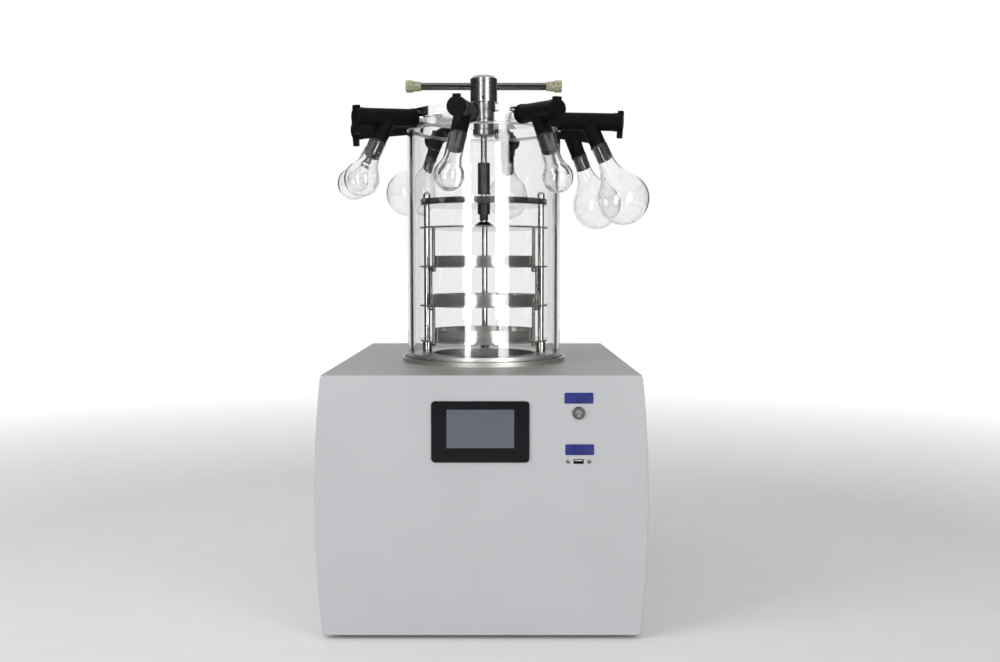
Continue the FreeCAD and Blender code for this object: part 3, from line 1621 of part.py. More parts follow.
def check_and_write(parts):
    """Stop on any failed object; then write one STEP file for each sub-part."""
    faults = []
    for item in doc.Objects:
        if "Invalid" in item.State or "Error" in item.State:
            faults.append(f"{item.Name} ({item.Label}): {item.State}")
    for part in parts:
        if part.Shape.isNull() or not part.Shape.isValid():
            faults.append(f"{part.Label}: bad shape")
    if faults:
        print("\n".join(faults))
        sys.exit("the model has faults")
    os.makedirs("parts", exist_ok=True)
    for part in parts:
        part.Shape.exportStep(os.path.join("parts", part.Label + ".step"))
        box = part.Shape.BoundBox
        print(
            f"{part.Label:18s} solids {len(part.Shape.Solids):2d}  volume {part.Shape.Volume:12.1f}  "
            f"x {box.XMin:7.1f} {box.XMax:7.1f}  y {box.YMin:7.1f} {box.YMax:7.1f}  "
            f"z {box.ZMin:7.1f} {box.ZMax:7.1f}"
        )


fill_sheet()
all_parts = build_parts()
doc.recompute()
check_and_write(all_parts)
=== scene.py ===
# %% [markdown]
# # A bench freeze dryer, dressed in Blender
# The solids come from the CAD model and stay where they are. This lesson gives
# them their finishes, adds the few small pieces that are easier to work out as
# surfaces than to draw as solids, and lights the whole in a plain pale studio.

# %% Load the solids
import math

import bpy
import numpy as np
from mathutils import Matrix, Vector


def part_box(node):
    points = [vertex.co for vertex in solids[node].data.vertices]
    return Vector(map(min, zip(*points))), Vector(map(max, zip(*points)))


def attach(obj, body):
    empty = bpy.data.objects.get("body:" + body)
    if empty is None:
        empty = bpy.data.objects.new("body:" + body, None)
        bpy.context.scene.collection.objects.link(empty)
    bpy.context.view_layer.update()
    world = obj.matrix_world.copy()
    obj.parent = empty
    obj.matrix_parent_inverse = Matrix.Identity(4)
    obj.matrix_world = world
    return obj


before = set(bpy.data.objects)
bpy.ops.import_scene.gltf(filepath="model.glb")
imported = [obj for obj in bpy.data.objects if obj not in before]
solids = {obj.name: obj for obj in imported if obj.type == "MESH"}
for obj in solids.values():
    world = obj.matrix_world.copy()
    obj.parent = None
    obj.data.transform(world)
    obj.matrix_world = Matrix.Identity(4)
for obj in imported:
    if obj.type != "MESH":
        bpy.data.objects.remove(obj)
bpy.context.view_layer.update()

# %% [markdown]
# ## Measures taken from the solids
# Every new piece goes where a solid says it should. A box of a solid gives its
# middle and its ends, so no size is typed twice: the chamber's axis is the
# middle of the tube, and the front of the cabinet is the front panel's face.
# Blender counts in metres here, so a millimetre and a micron get names of their
# own, and each small size is written as it would be measured.


# %% Middle and size of a solid
mm = 0.001
micron = 0.001 * mm


def middle(node):
    """Centre of a solid's box: the mean of its lowest and highest corners."""
    low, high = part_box(node)
    return (low + high) / 2


def size(node):
    """Width, depth and height of a solid's box: highest corner less lowest."""
    low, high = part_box(node)
    return high - low


chamber = middle("chamber_tube")
front_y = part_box("front_panel")[0].y
rear_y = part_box("rear_panel")[1].y
print("chamber axis at", [round(v / mm, 1) for v in chamber.xy], "mm")
print("front at", round(front_y / mm, 1), "mm")

# %% [markdown]
# ## The camera
# A long-ish lens at chest height looks slightly down on the machine, so the top
# of the cabinet shows as a thin slope and the rings as narrow ellipses. It could
# be aimed with a constraint; plain numbers keep it where it is put.

# %% Set the camera
downward_tilt = 3.594  # degrees
camera_data = bpy.data.cameras.new("camera")
camera_data.sensor_width = 36
camera_data.lens = 37.26
camera = bpy.data.objects.new("camera", camera_data)
camera.location = (0.019, -1.777, 0.537)
camera.rotation_euler = (math.radians(90 - downward_tilt), 0, 0)
bpy.context.scene.collection.objects.link(camera)
bpy.context.scene.camera = camera
bpy.context.scene.view_settings.view_transform = "Standard"
print("camera", round(math.degrees(camera_data.angle), 1), "degrees wide")

# %% [markdown]
# ## A surface from a grid of points
# Each new piece is worked out with numpy as a grid: one number runs along the
# piece and one runs across it. The grid's cells become four-sided faces. Blender
# could build such shapes from primitives, but a formula keeps every size in
# sight and gives clean faces.


# %% Faces of a grid, and an object with them
def grid_faces(rows, columns, closed):
    """Cell (i, j) has the corners (i, j), (i, j+1), (i+1, j+1) and (i+1, j). closed joins the last
    column to the first. Gives the number of each point, and the faces."""
    number = np.arange(rows * columns).reshape(rows, columns)
    loop = np.hstack([number, number[:, :1]]) if closed else number
    cells = np.stack([loop[:-1, :-1], loop[:-1, 1:], loop[1:, 1:], loop[1:, :-1]], axis=-1)
    return number, cells.reshape(-1, 4)


def add_object(name, points, faces, finish):
    """Object in the scene with these points, faces and finish."""
    mesh = bpy.data.meshes.new(name)
    mesh.from_pydata(points.reshape(-1, 3).tolist(), [], faces)
    mesh.materials.append(finish)
    added = bpy.data.objects.new(name, mesh)
    bpy.context.scene.collection.objects.link(added)
    return added


# %% [markdown]
# A piece is a tube of such cells with both ends closed. Its faces have to point
# outwards, and its edges stay crisp where two faces meet at a steep angle.


# %% Turn a grid of points into a piece
sharp_edge = math.radians(40)


def surface(name, points, finish, body):
    """Closed piece from points[i, j], a grid of places, with its first and last rows as ends.

    Its volume is a sixth of the sum, over its triangles, of a times the cross
    product of b and c; where that is below nothing, the faces are turned.
    """
    number, cells = grid_faces(*points.shape[:2], closed=True)
    faces = cells.tolist() + [number[0, ::-1].tolist(), number[-1].tolist()]
    piece = add_object(name, points, faces, finish)
    mesh = piece.data
    mesh.calc_loop_triangles()
    corners = np.empty(3 * len(mesh.loop_triangles), dtype=int)
    mesh.loop_triangles.foreach_get("vertices", corners)
    a, b, c = points.reshape(-1, 3)[corners.reshape(-1, 3)].transpose(1, 0, 2)
    if np.einsum("ij,ij->i", a, np.cross(b, c)).sum() < 0:
        mesh.flip_normals()
    mesh.shade_smooth()
    mesh.set_sharp_from_angle(angle=sharp_edge)
    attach(piece, body)
    print(name, len(faces), "faces, rides on", body)
    return piece


# %% [markdown]
# ## Helpers for finishes
# A finish is a small graph of nodes. All patterns read Object coordinates, so the
# size of a grain is its real size on the machine.


# %% Start a finish and place its pattern
def start_finish(name):
    """New material: its node tree and its one surface shader."""
    material = bpy.data.materials.new(name)
    material.use_nodes = True
    tree = material.node_tree
    return material, tree, tree.nodes["Principled BSDF"]


def coordinates(tree, centre=(0, 0, 0), stretch=(1, 1, 1)):
    """Object coordinates less a centre, times a stretch on each axis."""
    place = tree.nodes.new("ShaderNodeTexCoord")
    mapping = tree.nodes.new("ShaderNodeMapping")
    mapping.inputs["Scale"].default_value = stretch
    mapping.inputs["Location"].default_value = [-c * s for c, s in zip(centre, stretch)]
    tree.links.new(place.outputs["Object"], mapping.inputs["Vector"])
    return mapping.outputs["Vector"]


# %% [markdown]
# Some finishes work with numbers: the distance from a point, the larger of two
# values, or a share that picks between two shaders.


# %% Distance, two numbers made one, and a mix of two shaders
def distance(tree, vector):
    """Length of a vector: the root of the sum of its squares."""
    node = tree.nodes.new("ShaderNodeVectorMath")
    node.operation = "LENGTH"
    tree.links.new(vector, node.inputs[0])
    return node.outputs["Value"]


def combine(tree, operation, first, second):
    """One number from two, such as their MAXIMUM or the result of MULTIPLY."""
    node = tree.nodes.new("ShaderNodeMath")
    node.operation = operation
    tree.links.new(first, node.inputs[0])
    tree.links.new(second, node.inputs[1])
    return node.outputs["Value"]


def mix_shaders(tree, share, first, second):
    """Finish that is the first shader where share is 0 and the second where it is 1."""
    node = tree.nodes.new("ShaderNodeMixShader")
    tree.links.new(share, node.inputs["Fac"])
    tree.links.new(first, node.inputs[1])
    tree.links.new(second, node.inputs[2])
    tree.links.new(node.outputs["Shader"], tree.nodes["Material Output"].inputs["Surface"])


# %% [markdown]
# Turned and spun parts carry fine rings round their axis. Their pattern reads
# the distance from the axis and the height, and ignores the way round.


# %% Coordinates of a turned part
def ring_coordinates(tree, centre, upright=True):
    """(distance from the axis, place along the axis, 0) for a part turned about an axis that is
    upright or else runs from front to back."""
    flat = (1, 1, 0) if upright else (1, 0, 1)
    along = (0, 0, 1) if upright else (0, 1, 0)
    height = tree.nodes.new("ShaderNodeVectorMath")
    height.operation = "DOT_PRODUCT"
    height.inputs[1].default_value = along
    tree.links.new(coordinates(tree), height.inputs[0])
    both = tree.nodes.new("ShaderNodeCombineXYZ")
    tree.links.new(distance(tree, coordinates(tree, centre, flat)), both.inputs["X"])
    tree.links.new(height.outputs["Value"], both.inputs["Y"])
    return both.outputs["Vector"]


# %% [markdown]
# Noise gives grain, smudges and speckle. Its result is spread over a range of
# numbers for roughness, or over colours through a ramp, or seems to lift the
# surface by a few microns as a bump.


# %% Noise, range, ramp and what they drive
def noise(tree, vector, grain, detail=2.0):
    """Noise with lumps about as large as grain."""
    node = tree.nodes.new("ShaderNodeTexNoise")
    node.inputs["Scale"].default_value = 1 / grain
    node.inputs["Detail"].default_value = detail
    tree.links.new(vector, node.inputs["Vector"])
    return node.outputs["Fac"]


def spread(tree, value, low, high, start=0.3, end=0.7):
    """Straight line from low, where value is start, to high, where it is end."""
    node = tree.nodes.new("ShaderNodeMapRange")
    node.inputs["From Min"].default_value = start
    node.inputs["From Max"].default_value = end
    node.inputs["To Min"].default_value = low
    node.inputs["To Max"].default_value = high
    tree.links.new(value, node.inputs["Value"])
    return node.outputs["Result"]


def ramp(tree, value, *stops):
    """Colour that runs through stops, each a place from 0 to 1 and a colour."""
    node = tree.nodes.new("ShaderNodeValToRGB")
    points = node.color_ramp.elements
    while len(points) < len(stops):
        points.new(0.5)
    for point, (place, colour) in zip(points, stops):
        point.position = place
        point.color = (*colour, 1)
    tree.links.new(value, node.inputs["Fac"])
    return node.outputs["Color"]


def paint(tree, shader, pattern, *stops):
    """Colour that follows a pattern through the stops of a ramp."""
    tree.links.new(ramp(tree, pattern, *stops), shader.inputs["Base Color"])


def polish(tree, shader, pattern, smooth, rough):
    """Roughness that follows a pattern from smooth to rough."""
    tree.links.new(spread(tree, pattern, smooth, rough), shader.inputs["Roughness"])


def bump(tree, shader, height, depth):
    """Tilt the shading as if the surface rose by depth where height is 1."""
    node = tree.nodes.new("ShaderNodeBump")
    node.inputs["Distance"].default_value = depth
    tree.links.new(height, node.inputs["Height"])
    tree.links.new(node.outputs["Normal"], shader.inputs["Normal"])


def shade(colour, times):
    """A colour times a number: lighter above 1, darker below."""
    return tuple(min(channel * times, 1.0) for channel in colour)


# %% [markdown]
# A solid takes a finish by having its one material slot filled with it. The
# list of dressed solids is kept, so that none is left plain by mistake.

# %% Dress a solid
dressed = set()


def dress(material, *nodes):
    """Put a finish on solids, by name."""
    for node in nodes:
        solids[node].data.materials.clear()
        solids[node].data.materials.append(material)
        dressed.add(node)
    print(material.name, "on", len(nodes), "solids")


# %% [markdown]
# ## Powder coat
# The cabinet is folded sheet steel with a satin powder coat. Powder melts into a
# skin with faint ripples about a millimetre across, and a slightly uneven
# sheen. One builder makes the light coat of the housing and the darker, warmer
# coat of the top.


# %% Powder coat for the cabinet
def powder_coat(name, colour):
    """Cloudy colour within 3%, satin gloss, and ripples of some twenty microns."""
    material, tree, shader = start_finish(name)
    place = coordinates(tree)
    clouds = noise(tree, place, 120 * mm)
    paint(tree, shader, clouds, (0.3, shade(colour, 0.975)), (0.7, shade(colour, 1.02)))
    grain = noise(tree, place, 1.2 * mm, detail=4)
    polish(tree, shader, grain, 0.42, 0.52)
    bump(tree, shader, grain, 20 * micron)
    return material


light_coat = powder_coat("cabinet_coat", (0.525, 0.529, 0.548))
dark_coat = powder_coat("top_coat", (0.33, 0.32, 0.305))
dress(light_coat, "cabinet_shell", "front_panel", "rear_panel")
dress(dark_coat, "top_panel")

# %% [markdown]
# ## Polished and brushed steel
# Almost everything in the chamber is stainless steel. Steel has no colour of its
# own to speak of: it shows the room, in bright bands from the lamps and dark
# ones from the rest. Turned parts have fine rings, which blur the bands
# slightly; rolled sheet has soft smudges.


# %% Steel finishes
def steel(name, tint, smooth, rough, centre=None, upright=True, metal=1.0):
    """Metal whose roughness runs from smooth to rough, in rings if centre is given. Where metal is
    under 1, the rest scatters light as a fine grain does."""
    material, tree, shader = start_finish(name)
    if centre is None:
        grain = noise(tree, coordinates(tree), 4 * mm, detail=3)
    else:
        grain = noise(tree, ring_coordinates(tree, centre, upright), 0.6 * mm, detail=3)
    smudge = noise(tree, coordinates(tree), 30 * mm)
    paint(tree, shader, smudge, (0.3, shade(tint, 0.92)), (0.7, tint))
    polish(tree, shader, grain, smooth, rough)
    bump(tree, shader, grain, 4 * micron)
    shader.inputs["Metallic"].default_value = metal
    return material


turned_steel = steel("turned_steel", (0.37, 0.357, 0.348), smooth=0.24, rough=0.36, centre=chamber)
polished_steel = steel("polished_steel", (0.56, 0.55, 0.53), smooth=0.10, rough=0.18)
pressed_steel = steel("pressed_steel", (0.70, 0.69, 0.67), smooth=0.14, rough=0.22, centre=chamber,
                      metal=0.9)
dark_steel = steel("dark_steel", (0.17, 0.167, 0.163), smooth=0.12, rough=0.22)
satin_steel = steel("satin_steel", (0.68, 0.665, 0.65), smooth=0.36, rough=0.48, centre=chamber)
dress(turned_steel, "handle_hub", "handle_rod", "lid_gland", "lock_rings")
dress(dark_steel, "handle_bar", "press_foot", "link_pins_1", "link_pins_2", "link_pins_3")
dress(polished_steel, "rack_posts", "post_nuts", "rack_top_plate", "press_screw")
dress(pressed_steel, "tray_2", "tray_3", "tray_4", "shelf_1", "shelf_2", "shelf_3", "shelf_4")
dress(satin_steel, "cold_trap", "rack_base")

# %% [markdown]
# The vacuum pipe at the rear lies along the depth of the machine, so its rings
# run round its own axis.

# %% Vacuum pipe
pipe_steel = steel("pipe_steel", (0.66, 0.65, 0.63), smooth=0.2, rough=0.32,
                   centre=middle("vacuum_port"), upright=False)
dress(pipe_steel, "vacuum_port")

# %% [markdown]
# ## Black plastic, rubber and paint
# The valves are moulded rubber with hard plastic knobs, the screen has a glossy
# frame, the feet are plain rubber, and the sockets, the fan and the compressor
# have a dark paint or plastic. All are near black; what tells them apart is gloss
# and grain.


# %% Black finishes
def black(name, colour, smooth, rough, grain, depth, gloss=0.5):
    """Dark colour with slight clouds, roughness from smooth to rough, and a grain of some depth.
    gloss is the shader's specular level."""
    material, tree, shader = start_finish(name)
    shader.inputs["Specular IOR Level"].default_value = gloss
    place = coordinates(tree)
    clouds = noise(tree, place, 20 * mm)
    paint(tree, shader, clouds, (0.3, shade(colour, 0.8)), (0.7, shade(colour, 1.25)))
    pattern = noise(tree, place, grain, detail=3)
    polish(tree, shader, pattern, smooth, rough)
    bump(tree, shader, pattern, depth)
    return material


jet = (0.006, 0.006, 0.007)
valve_rubber = black("valve_rubber", jet, smooth=0.45, rough=0.6,
                     grain=0.8 * mm, depth=20 * micron, gloss=0.06)
knob_plastic = black("knob_plastic", jet, smooth=0.38, rough=0.5,
                     grain=1 * mm, depth=10 * micron, gloss=0.05)
gloss_frame = black("gloss_frame", (0.006, 0.006, 0.0085), smooth=0.2, rough=0.28,
                    grain=2 * mm, depth=2 * micron, gloss=0.22)
foot_rubber = black("foot_rubber", (0.020, 0.020, 0.020), smooth=0.6, rough=0.8,
                    grain=1 * mm, depth=40 * micron)
dark_fitting = black("dark_fitting", (0.020, 0.021, 0.023), smooth=0.3, rough=0.45,
                     grain=1.5 * mm, depth=20 * micron)
dress(valve_rubber, "valve_bodies")
dress(knob_plastic, *[f"valve_knob_{number}" for number in range(1, 9)])
dress(gloss_frame, "screen_bezel")
dress(foot_rubber, "feet")
dress(dark_fitting, "mains_inlet", "mains_switch", "usb_socket", "drive_sleeve", "press_nut",
      "compressor", "fan_frame", "condenser_fan")

# %% [markdown]
# ## The dark display
# The touch screen is off: a blue-grey panel under clear glass. A glossy coat
# over a soft base gives the two layers. Faint dust shows as slightly rougher
# patches.

# %% Display glass
display_glass, tree, shader = start_finish("display_glass")
dust = noise(tree, coordinates(tree), 10 * mm, detail=4)
paint(tree, shader, dust, (0.3, (0.105, 0.120, 0.145)), (0.7, (0.112, 0.128, 0.155)))
polish(tree, shader, dust, 0.16, 0.24)
shader.inputs["Coat Weight"].default_value = 0.5
shader.inputs["Coat Roughness"].default_value = 0.05
dress(display_glass, "screen_display")

# %% [markdown]
# ## Metal button
# The push button and its ring are turned steel, seen face on, so their rings run
# round an axis that points at the viewer. The ring is painted darker than the
# button, as painted shade for the dark gap round the button.

# %% Push button
button = middle("push_button")
button_steel = steel("button_steel", (0.50, 0.50, 0.50), smooth=0.10, rough=0.22,
                     centre=button, upright=False)
# The ring's darker tint is painted shade: it stands in for the dark gap round the button.
ring_steel_painted_shade = steel("button_ring_steel", (0.30, 0.30, 0.30), smooth=0.10, rough=0.22,
                   centre=button, upright=False)
dress(button_steel, "push_button")
dress(ring_steel_painted_shade, "button_bezel")

# %% [markdown]
# ## Clear acrylic and glass
# The chamber is a thick acrylic tube and the flasks are thin blown glass. Both
# bend the light that passes, which darkens or brightens their edges. In a render
# such walls would also throw heavy shadows, so lamp light and bounced light pass
# straight through, and only what the eye sees is bent.


# %% Clear finishes
frost = 0.06


def clear(name, tint, index, smooth, rough, frosted=None):
    """Refracting shader for what is seen, and plain see-through for lamp and bounced light.
    Past the distance frosted from the chamber's axis, roughness is at least that of frost."""
    material, tree, shader = start_finish(name)
    smudge = noise(tree, coordinates(tree), 25 * mm, detail=3)
    blur = spread(tree, smudge, smooth, rough)
    if frosted:
        apart = tree.nodes.new("ShaderNodeSeparateXYZ")
        tree.links.new(ring_coordinates(tree, chamber), apart.inputs["Vector"])
        out = apart.outputs["X"]
        rim = spread(tree, out, 0.0, frost, start=frosted - 1 * mm, end=frosted)
        blur = combine(tree, "MAXIMUM", blur, rim)
    tree.links.new(blur, shader.inputs["Roughness"])
    paint(tree, shader, smudge, (0.3, shade(tint, 0.985)), (0.7, tint))
    shader.inputs["IOR"].default_value = index
    shader.inputs["Transmission Weight"].default_value = 1.0
    through = tree.nodes.new("ShaderNodeBsdfTransparent")
    through.inputs["Color"].default_value = (*shade(tint, 0.97), 1)
    ray = tree.nodes.new("ShaderNodeLightPath").outputs
    unseen = combine(tree, "MAXIMUM", ray["Is Shadow Ray"], ray["Is Diffuse Ray"])
    mix_shaders(tree, unseen, shader.outputs["BSDF"], through.outputs["BSDF"])
    return material


water_clear = (0.998, 0.998, 0.998)
acrylic_index = 1.49
rim_start = size("manifold_lid").x / 2 - 1 * mm
acrylic = clear("acrylic", water_clear, acrylic_index, smooth=0.0, rough=0.02)
lid_acrylic = clear("lid_acrylic", water_clear, acrylic_index, smooth=0.0, rough=0.02,
                    frosted=rim_start)
flask_glass = clear("flask_glass", (0.97, 0.97, 0.97), 1.47, smooth=0.0, rough=0.01)
dress(acrylic, "chamber_tube")
dress(lid_acrylic, "manifold_lid")
dress(flask_glass, "flasks_50ml", "flasks_100ml", "flasks_200ml", "flasks_300ml")

# %% [markdown]
# ## Speckled grips
# The ends of the T-handle are moulded in a mottled olive and cream plastic.
# Small cells of colour, mixed by noise, give the speckle.

# %% Handle grips
grip_plastic, tree, shader = start_finish("grip_plastic")
speckle = noise(tree, coordinates(tree), 2.5 * mm, detail=5)
olive, moss, cream = (0.19, 0.185, 0.095), (0.34, 0.34, 0.21), (0.60, 0.60, 0.45)
paint(tree, shader, speckle, (0.35, olive), (0.5, moss), (0.65, cream))
polish(tree, shader, speckle, 0.3, 0.45)
dress(grip_plastic, "handle_grips")

# %% [markdown]
# ## Seals, foam and fins
# What is left is seen only through slots and glass: silicone seals, the rubber
# stoppers in the flasks' necks, the foam round the cold trap and the aluminium
# fins of the condenser.


# %% Matt finishes
def matt(name, colour, grain, depth):
    """Plain matt material with a grain of some depth."""
    material, tree, shader = start_finish(name)
    pattern = noise(tree, coordinates(tree), grain, detail=4)
    paint(tree, shader, pattern, (0.3, shade(colour, 0.85)), (0.7, colour))
    polish(tree, shader, pattern, 0.5, 0.7)
    bump(tree, shader, pattern, depth)
    return material


silicone = clear("silicone", (0.93, 0.93, 0.92), 1.41, smooth=0.3, rough=0.45)
stopper_rubber = matt("stopper_rubber", (0.022, 0.022, 0.023), grain=1 * mm, depth=20 * micron)
foam = matt("foam", (0.55, 0.50, 0.36), grain=3 * mm, depth=0.4 * mm)
fin_metal = steel("fin_metal", (0.62, 0.63, 0.64), smooth=0.3, rough=0.45)
dress(silicone, "gaskets")
dress(stopper_rubber, "flask_stoppers")
dress(foam, "trap_insulation")
dress(fin_metal, "condenser")
print("not dressed:", sorted(set(solids) - dressed))

# %% [markdown]
# ## Two blue plates beside the controls
# The button and the data socket each have a small blue plate above them, left
# blank here. A plate is a rounded rectangle whose edge rolls over: the outline
# shrinks as the height grows, and the last outline is closed by the face.


# %% A rounded plate
def rounded_outline(width, height, corner, inset):
    """Rectangle with round corners, once for each inset: each corner's centre plus
    (corner - inset) times (cos, sin)."""
    turn = np.linspace(0, 0.5 * np.pi, 8)
    angle = (np.arange(4)[:, None] * 0.5 * np.pi + turn).ravel()
    side = np.repeat([[1, 1], [-1, 1], [-1, -1], [1, -1]], len(turn), axis=0)
    centre = side * np.array([width / 2 - corner, height / 2 - corner])
    away = np.stack([np.cos(angle), np.sin(angle)], axis=1)
    return centre[None] + away[None] * (corner - inset)[:, None, None]


def plate(name, middle_x, middle_z, width, height, corner, thick, roll, finish, face=front_y):
    """Outline inset by roll * (1 - cos t), at height thick - roll * (1 - sin t) ahead of the face,
    as t goes from 0 to 90 degrees. One more row lies just behind the face."""
    turn = np.concatenate([[0], np.linspace(0, 0.5 * np.pi, 5)])
    rise = thick - roll * (1 - np.sin(turn))
    rise[0] = -0.1 * mm
    flat = rounded_outline(width, height, corner, roll * (1 - np.cos(turn)))
    across = middle_x + flat[..., 0]
    ahead = face - np.broadcast_to(rise[:, None], across.shape)
    up = middle_z + flat[..., 1]
    return surface(name, np.stack([across, ahead, up], axis=-1), finish, "base")


# %% Button's plate and socket's plate
plate_blue = black("plate_blue", (0.019, 0.028, 0.20), smooth=0.3, rough=0.4,
                   grain=3 * mm, depth=5 * micron, gloss=0.3)
socket = middle("usb_socket")
blue_plate = {"width": 41 * mm, "height": 15.5 * mm, "corner": 1.5 * mm, "thick": 0.8 * mm,
              "roll": 0.4 * mm, "finish": plate_blue}
plate("button_plate", button.x, button.z + 21.5 * mm, **blue_plate)
plate("socket_plate", socket.x + 1.5 * mm, socket.z + 17 * mm, **blue_plate)

# %% [markdown]
# The data socket's contacts lie on a pale tongue. Only its front end shows, as a
# light line in the dark slot, so a thin cap in its own colour is set on that end.

# %% Tongue of the data socket
tongue_plastic = matt("tongue_plastic", (0.62, 0.62, 0.58), grain=1 * mm, depth=5 * micron)
plate("socket_tongue", socket.x, socket.z + 1.3 * mm, width=11.2 * mm, height=1.7 * mm,
      corner=0.4 * mm, thick=0.3 * mm, roll=0.1 * mm, finish=tongue_plastic,
      face=front_y + 0.7 * mm)

# %% [markdown]
# ## Small screws
# Two screws hold the data socket and eight hold the rear panel. All have a pan
# head with a cross recess. The head is a grid of rings round its middle: a dome
# whose height falls with the square of the distance, sunk where the cross is.


# %% A pan head screw
def screw_head(name, middle_x, middle_z, face, outward, radius, finish):
    """Dome of height 0.55 R (1 - 0.5 u^2) at distance u R, less a cross 0.3 R deep whose arms
    are 0.14 R to each side and 0.6 R long. outward is -1 to the front and 1 to the rear."""
    share = np.concatenate([[0.02], np.linspace(0.08, 0.9, 14), [0.97, 1.0, 1.0, 1.0]])[:, None]
    turn = np.linspace(0, 2 * np.pi, 48, endpoint=False)[None]
    across, up = share * np.cos(turn), share * np.sin(turn)
    narrow = np.minimum(abs(across), abs(up))
    wide = np.maximum(abs(across), abs(up))
    arm_half, arm_long, slope = 0.14, 0.6, 0.06
    within = np.clip((arm_half + slope - narrow) / slope, 0, 1)
    cross = within * np.clip((arm_long + slope - wide) / slope, 0, 1)
    height = 0.55 * (1 - 0.5 * share**2) - 0.3 * cross
    # The last three rings are the head's side, which ends just behind the face.
    height[-3:] = np.array([0.2, 0.05, -0.05])[:, None]
    ahead = face + outward * radius * height
    points = np.stack([middle_x + radius * across, ahead, middle_z + radius * up], axis=-1)
    return surface(name, points, finish, "base")


# %% Screws of the data socket
screw_steel = steel("screw_steel", (0.20, 0.20, 0.195), smooth=0.2, rough=0.35)
half_spacing = 15 * mm
for number, side in enumerate((-1, 1), start=1):
    screw = screw_head(f"socket_screw_{number}", socket.x + side * half_spacing, socket.z,
                       face=front_y, outward=-1, radius=2.9 * mm, finish=screw_steel)

# %% Screws of the rear panel
rear = middle("rear_panel")
reach_x = 0.45 * size("rear_panel").x
reach_z = 0.5 * size("rear_panel").z - 14 * mm
spots = [(x, z) for z in (-1, 0, 1) for x in (-1, 0, 1) if (x, z) != (0, 0)]
for number, (x, z) in enumerate(spots, start=1):
    screw = screw_head(f"rear_screw_{number}", rear.x + x * reach_x, rear.z + z * reach_z,
                       face=rear_y, outward=1, radius=4 * mm, finish=screw_steel)

# %% [markdown]
# ## Thread of the press screw
# The solid screw is a plain rod, because its coupling already stands for the
# thread. Here a ridge is wound round it, a right-hand helix that climbs 3 mm a
# turn, as the coupling says. It is thin enough to clear the nut's bore.


# %% Wind the ridge
def ridge(name, low, high, pitch, root, crest, finish, body):
    """Triangle carried up a helix: at angle t its height is low + pitch * t / (2 pi), and its three
    corners are at the root, the crest and the root. The crest fades in and out over half a turn."""
    turns = (high - low) / pitch
    steps_a_turn, half_foot = 24, 0.36 * pitch
    turn = np.linspace(0, 2 * np.pi * turns, round(steps_a_turn * turns) + 1)[:, None]
    fade = np.clip(np.minimum(turn, turn[-1] - turn) / np.pi, 0.05, 1)
    radius = np.hstack([root + 0 * turn, root + (crest - root) * fade, root + 0 * turn])
    height = low + pitch * turn / (2 * np.pi) + half_foot * np.array([[1, 0, -1]])
    across, back = chamber.x + radius * np.cos(turn), chamber.y + radius * np.sin(turn)
    return surface(name, np.stack([across, back, height], axis=-1), finish, body)


thread_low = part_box("press_screw")[0].z + 5 * mm
thread_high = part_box("drive_sleeve")[0].z - 2 * mm
thread = ridge("press_thread", thread_low, thread_high, pitch=3 * mm, root=4.92 * mm,
               crest=5.25 * mm, finish=polished_steel, body="press_screw")

# %% [markdown]
# ## Floor and backdrop
# The machine stands on a pale floor that fades into a white room. The floor
# takes the machine's shadow near it; further out it turns plain white, so that
# no horizon shows.

# %% Paint the floor
fade_start, fade_end = 1.0, 2.6
floor_paint, tree, shader = start_finish("floor_paint")
place = coordinates(tree)
grain = noise(tree, place, 50 * mm)
paint(tree, shader, grain, (0.3, (0.84, 0.84, 0.84)), (0.7, (0.86, 0.86, 0.86)))
shader.inputs["Roughness"].default_value = 0.6
white = tree.nodes.new("ShaderNodeEmission")
far = spread(tree, distance(tree, place), 0.0, 1.0, start=fade_start, end=fade_end)
ray = tree.nodes.new("ShaderNodeLightPath").outputs
seen = combine(tree, "MAXIMUM", ray["Is Camera Ray"], ray["Is Transmission Ray"])
share = combine(tree, "MULTIPLY", far, seen)
mix_shaders(tree, share, shader.outputs["BSDF"], white.outputs["Emission"])

# %% Lay the floor
floor_radius = 7.0
rings, spokes = 40, 96
reach = np.linspace(0.02, floor_radius, rings)[:, None]
around = np.linspace(0, 2 * np.pi, spokes, endpoint=False)[None]
points = np.stack([reach * np.cos(around), reach * np.sin(around), 0 * reach * around], axis=-1)
number, cells = grid_faces(rings, spokes, closed=True)
faces = cells[:, ::-1].tolist() + [number[0].tolist()]
floor = add_object("floor", points, faces, floor_paint)
print("floor", floor_radius, "m to each side,", len(faces), "faces")

# %% [markdown]
# ## The room
# The room is white to the eye, in reflections and through glass, but gives only
# soft light. A large soft box stands near on the left and a fainter one on the
# right: they light what is matt. Polished steel and glass don't show them, but
# show two upright strips of light and black screens, as round a polished object
# in a studio, which gives them their bright stripes and dark edges.

# %% Room light
world = bpy.data.worlds.new("room")
world.use_nodes = True
bpy.context.scene.world = world
tree = world.node_tree
room = tree.nodes["Background"]
room.inputs["Color"].default_value = (1, 1, 1, 1)
soft_light = 0.55
ray = tree.nodes.new("ShaderNodeLightPath").outputs
seen = combine(tree, "MAXIMUM", ray["Is Camera Ray"], ray["Is Glossy Ray"])
seen = combine(tree, "MAXIMUM", seen, ray["Is Transmission Ray"])
strength = spread(tree, seen, soft_light, 1.0, start=0.0, end=1.0)
tree.links.new(strength, room.inputs["Strength"])
print("room gives", soft_light, "of its white as light")


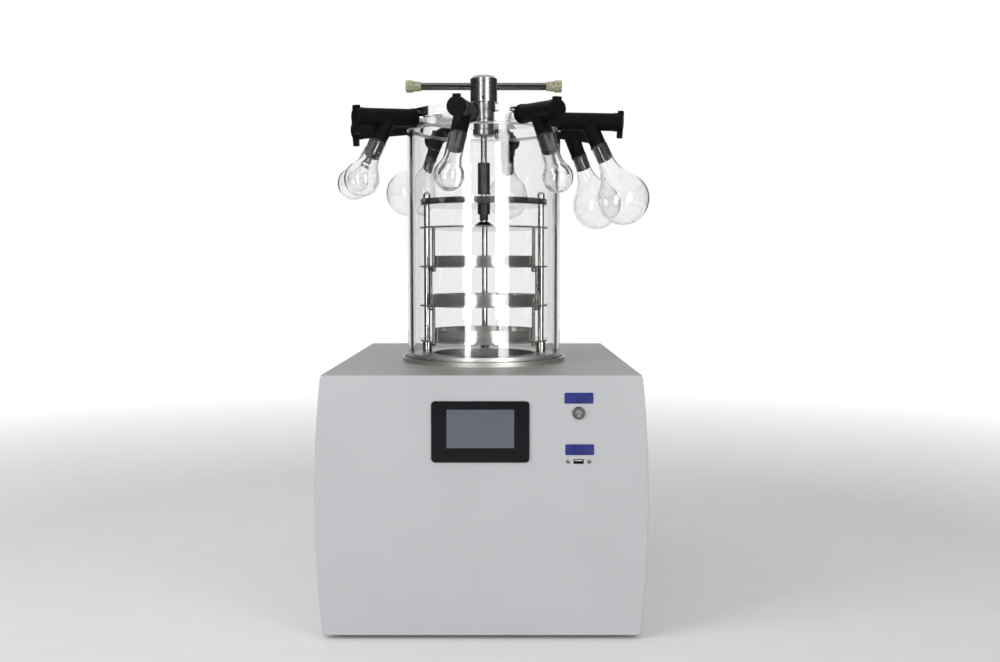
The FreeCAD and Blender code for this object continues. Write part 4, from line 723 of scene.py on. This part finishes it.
# %% Soft boxes and stripes of light
def lamp(name, azimuth, height, apart, width, tall, brightness, kind):
    """Area lamp that faces the chamber and lights one kind of surface. It stands (d sin a,
    -d cos a) from it, for a distance d apart and an azimuth a. Its power is brightness times pi
    times its area."""
    light = bpy.data.lights.new(name, "AREA")
    light.shape = "RECTANGLE"
    light.size, light.size_y = width, tall
    light.energy = brightness * math.pi * width * tall
    holder = bpy.data.objects.new(name, light)
    turn = math.radians(azimuth)
    away_x, away_y = apart * math.sin(turn), -apart * math.cos(turn)
    holder.location = (chamber.x + away_x, chamber.y + away_y, height)
    aim = chamber - holder.location
    holder.rotation_euler = aim.to_track_quat("-Z", "Y").to_euler()
    holder.visible_glossy = kind == "stripe"
    holder.visible_diffuse = kind == "soft box"
    holder.visible_transmission = kind == "stripe"
    bpy.context.scene.collection.objects.link(holder)
    print(name, round(light.energy, 1), "W")


lamp("left_box", azimuth=-56, height=1.35, apart=2.4, width=1.35, tall=2.4, brightness=3.2,
     kind="soft box")
lamp("right_box", azimuth=42, height=1.1, apart=2.6, width=1.1, tall=2.2, brightness=2.2,
     kind="soft box")
lamp("left_stripe", azimuth=-23, height=0.6, apart=3.0, width=0.45, tall=2.6, brightness=9.0,
     kind="stripe")
lamp("right_stripe", azimuth=30, height=0.6, apart=3.0, width=0.8, tall=2.6, brightness=9.0,
     kind="stripe")

# %% [markdown]
# The screens are three upright bends of cloth, black where something shiny
# mirrors them. To a ray that has met nothing shiny the two at the sides are grey,
# which darkens the edges of the tube and the flasks, and the one in front is
# clear, so that glass looked through from behind stays clear.


# %% Cloth of the screens
def cloth(name, grey):
    """Black cloth for a ray with a shiny bounce behind it. For any other ray it glows as strongly
    as grey says, and is clear if grey is nothing."""
    material, tree, shader = start_finish(name)
    weave = noise(tree, coordinates(tree), 10 * mm)
    paint(tree, shader, weave, (0.3, (0.02, 0.02, 0.02)), (0.7, (0.03, 0.03, 0.03)))
    shader.inputs["Roughness"].default_value = 0.9
    unmirrored = tree.nodes.new("ShaderNodeEmission" if grey else "ShaderNodeBsdfTransparent")
    if grey:
        unmirrored.inputs["Strength"].default_value = grey
    bounces = tree.nodes.new("ShaderNodeLightPath").outputs["Glossy Depth"]
    mirrored = spread(tree, bounces, 0.0, 1.0, start=0.0, end=1.0)
    mix_shaders(tree, mirrored, unmirrored.outputs[0], shader.outputs["BSDF"])
    return material


# %% Black screens
screen_radius = 3.4
screen_low, screen_high = -0.2, 3.0


def screen(name, start, end, material):
    """Upright sheet: (R sin a, -R cos a, z) at the screens' radius R, for a from start to end
    degrees and z from low to high."""
    turn, rise = np.meshgrid(np.radians(np.linspace(start, end, 30)),
                             np.linspace(screen_low, screen_high, 4), indexing="ij")
    points = np.stack([screen_radius * np.sin(turn), -screen_radius * np.cos(turn), rise], axis=-1)
    cells = grid_faces(*turn.shape, closed=False)[1]
    sheet = add_object(name, points, cells.tolist(), material)
    sheet.visible_camera = False
    sheet.visible_diffuse = False
    sheet.visible_shadow = False
    print(name, "from", start, "to", end, "degrees")


side_cloth = cloth("side_cloth", 0.16)
screen("front_screen", -60, 60, cloth("front_cloth", 0))
screen("left_screen", -150, -60, side_cloth)
screen("right_screen", 60, 150, side_cloth)
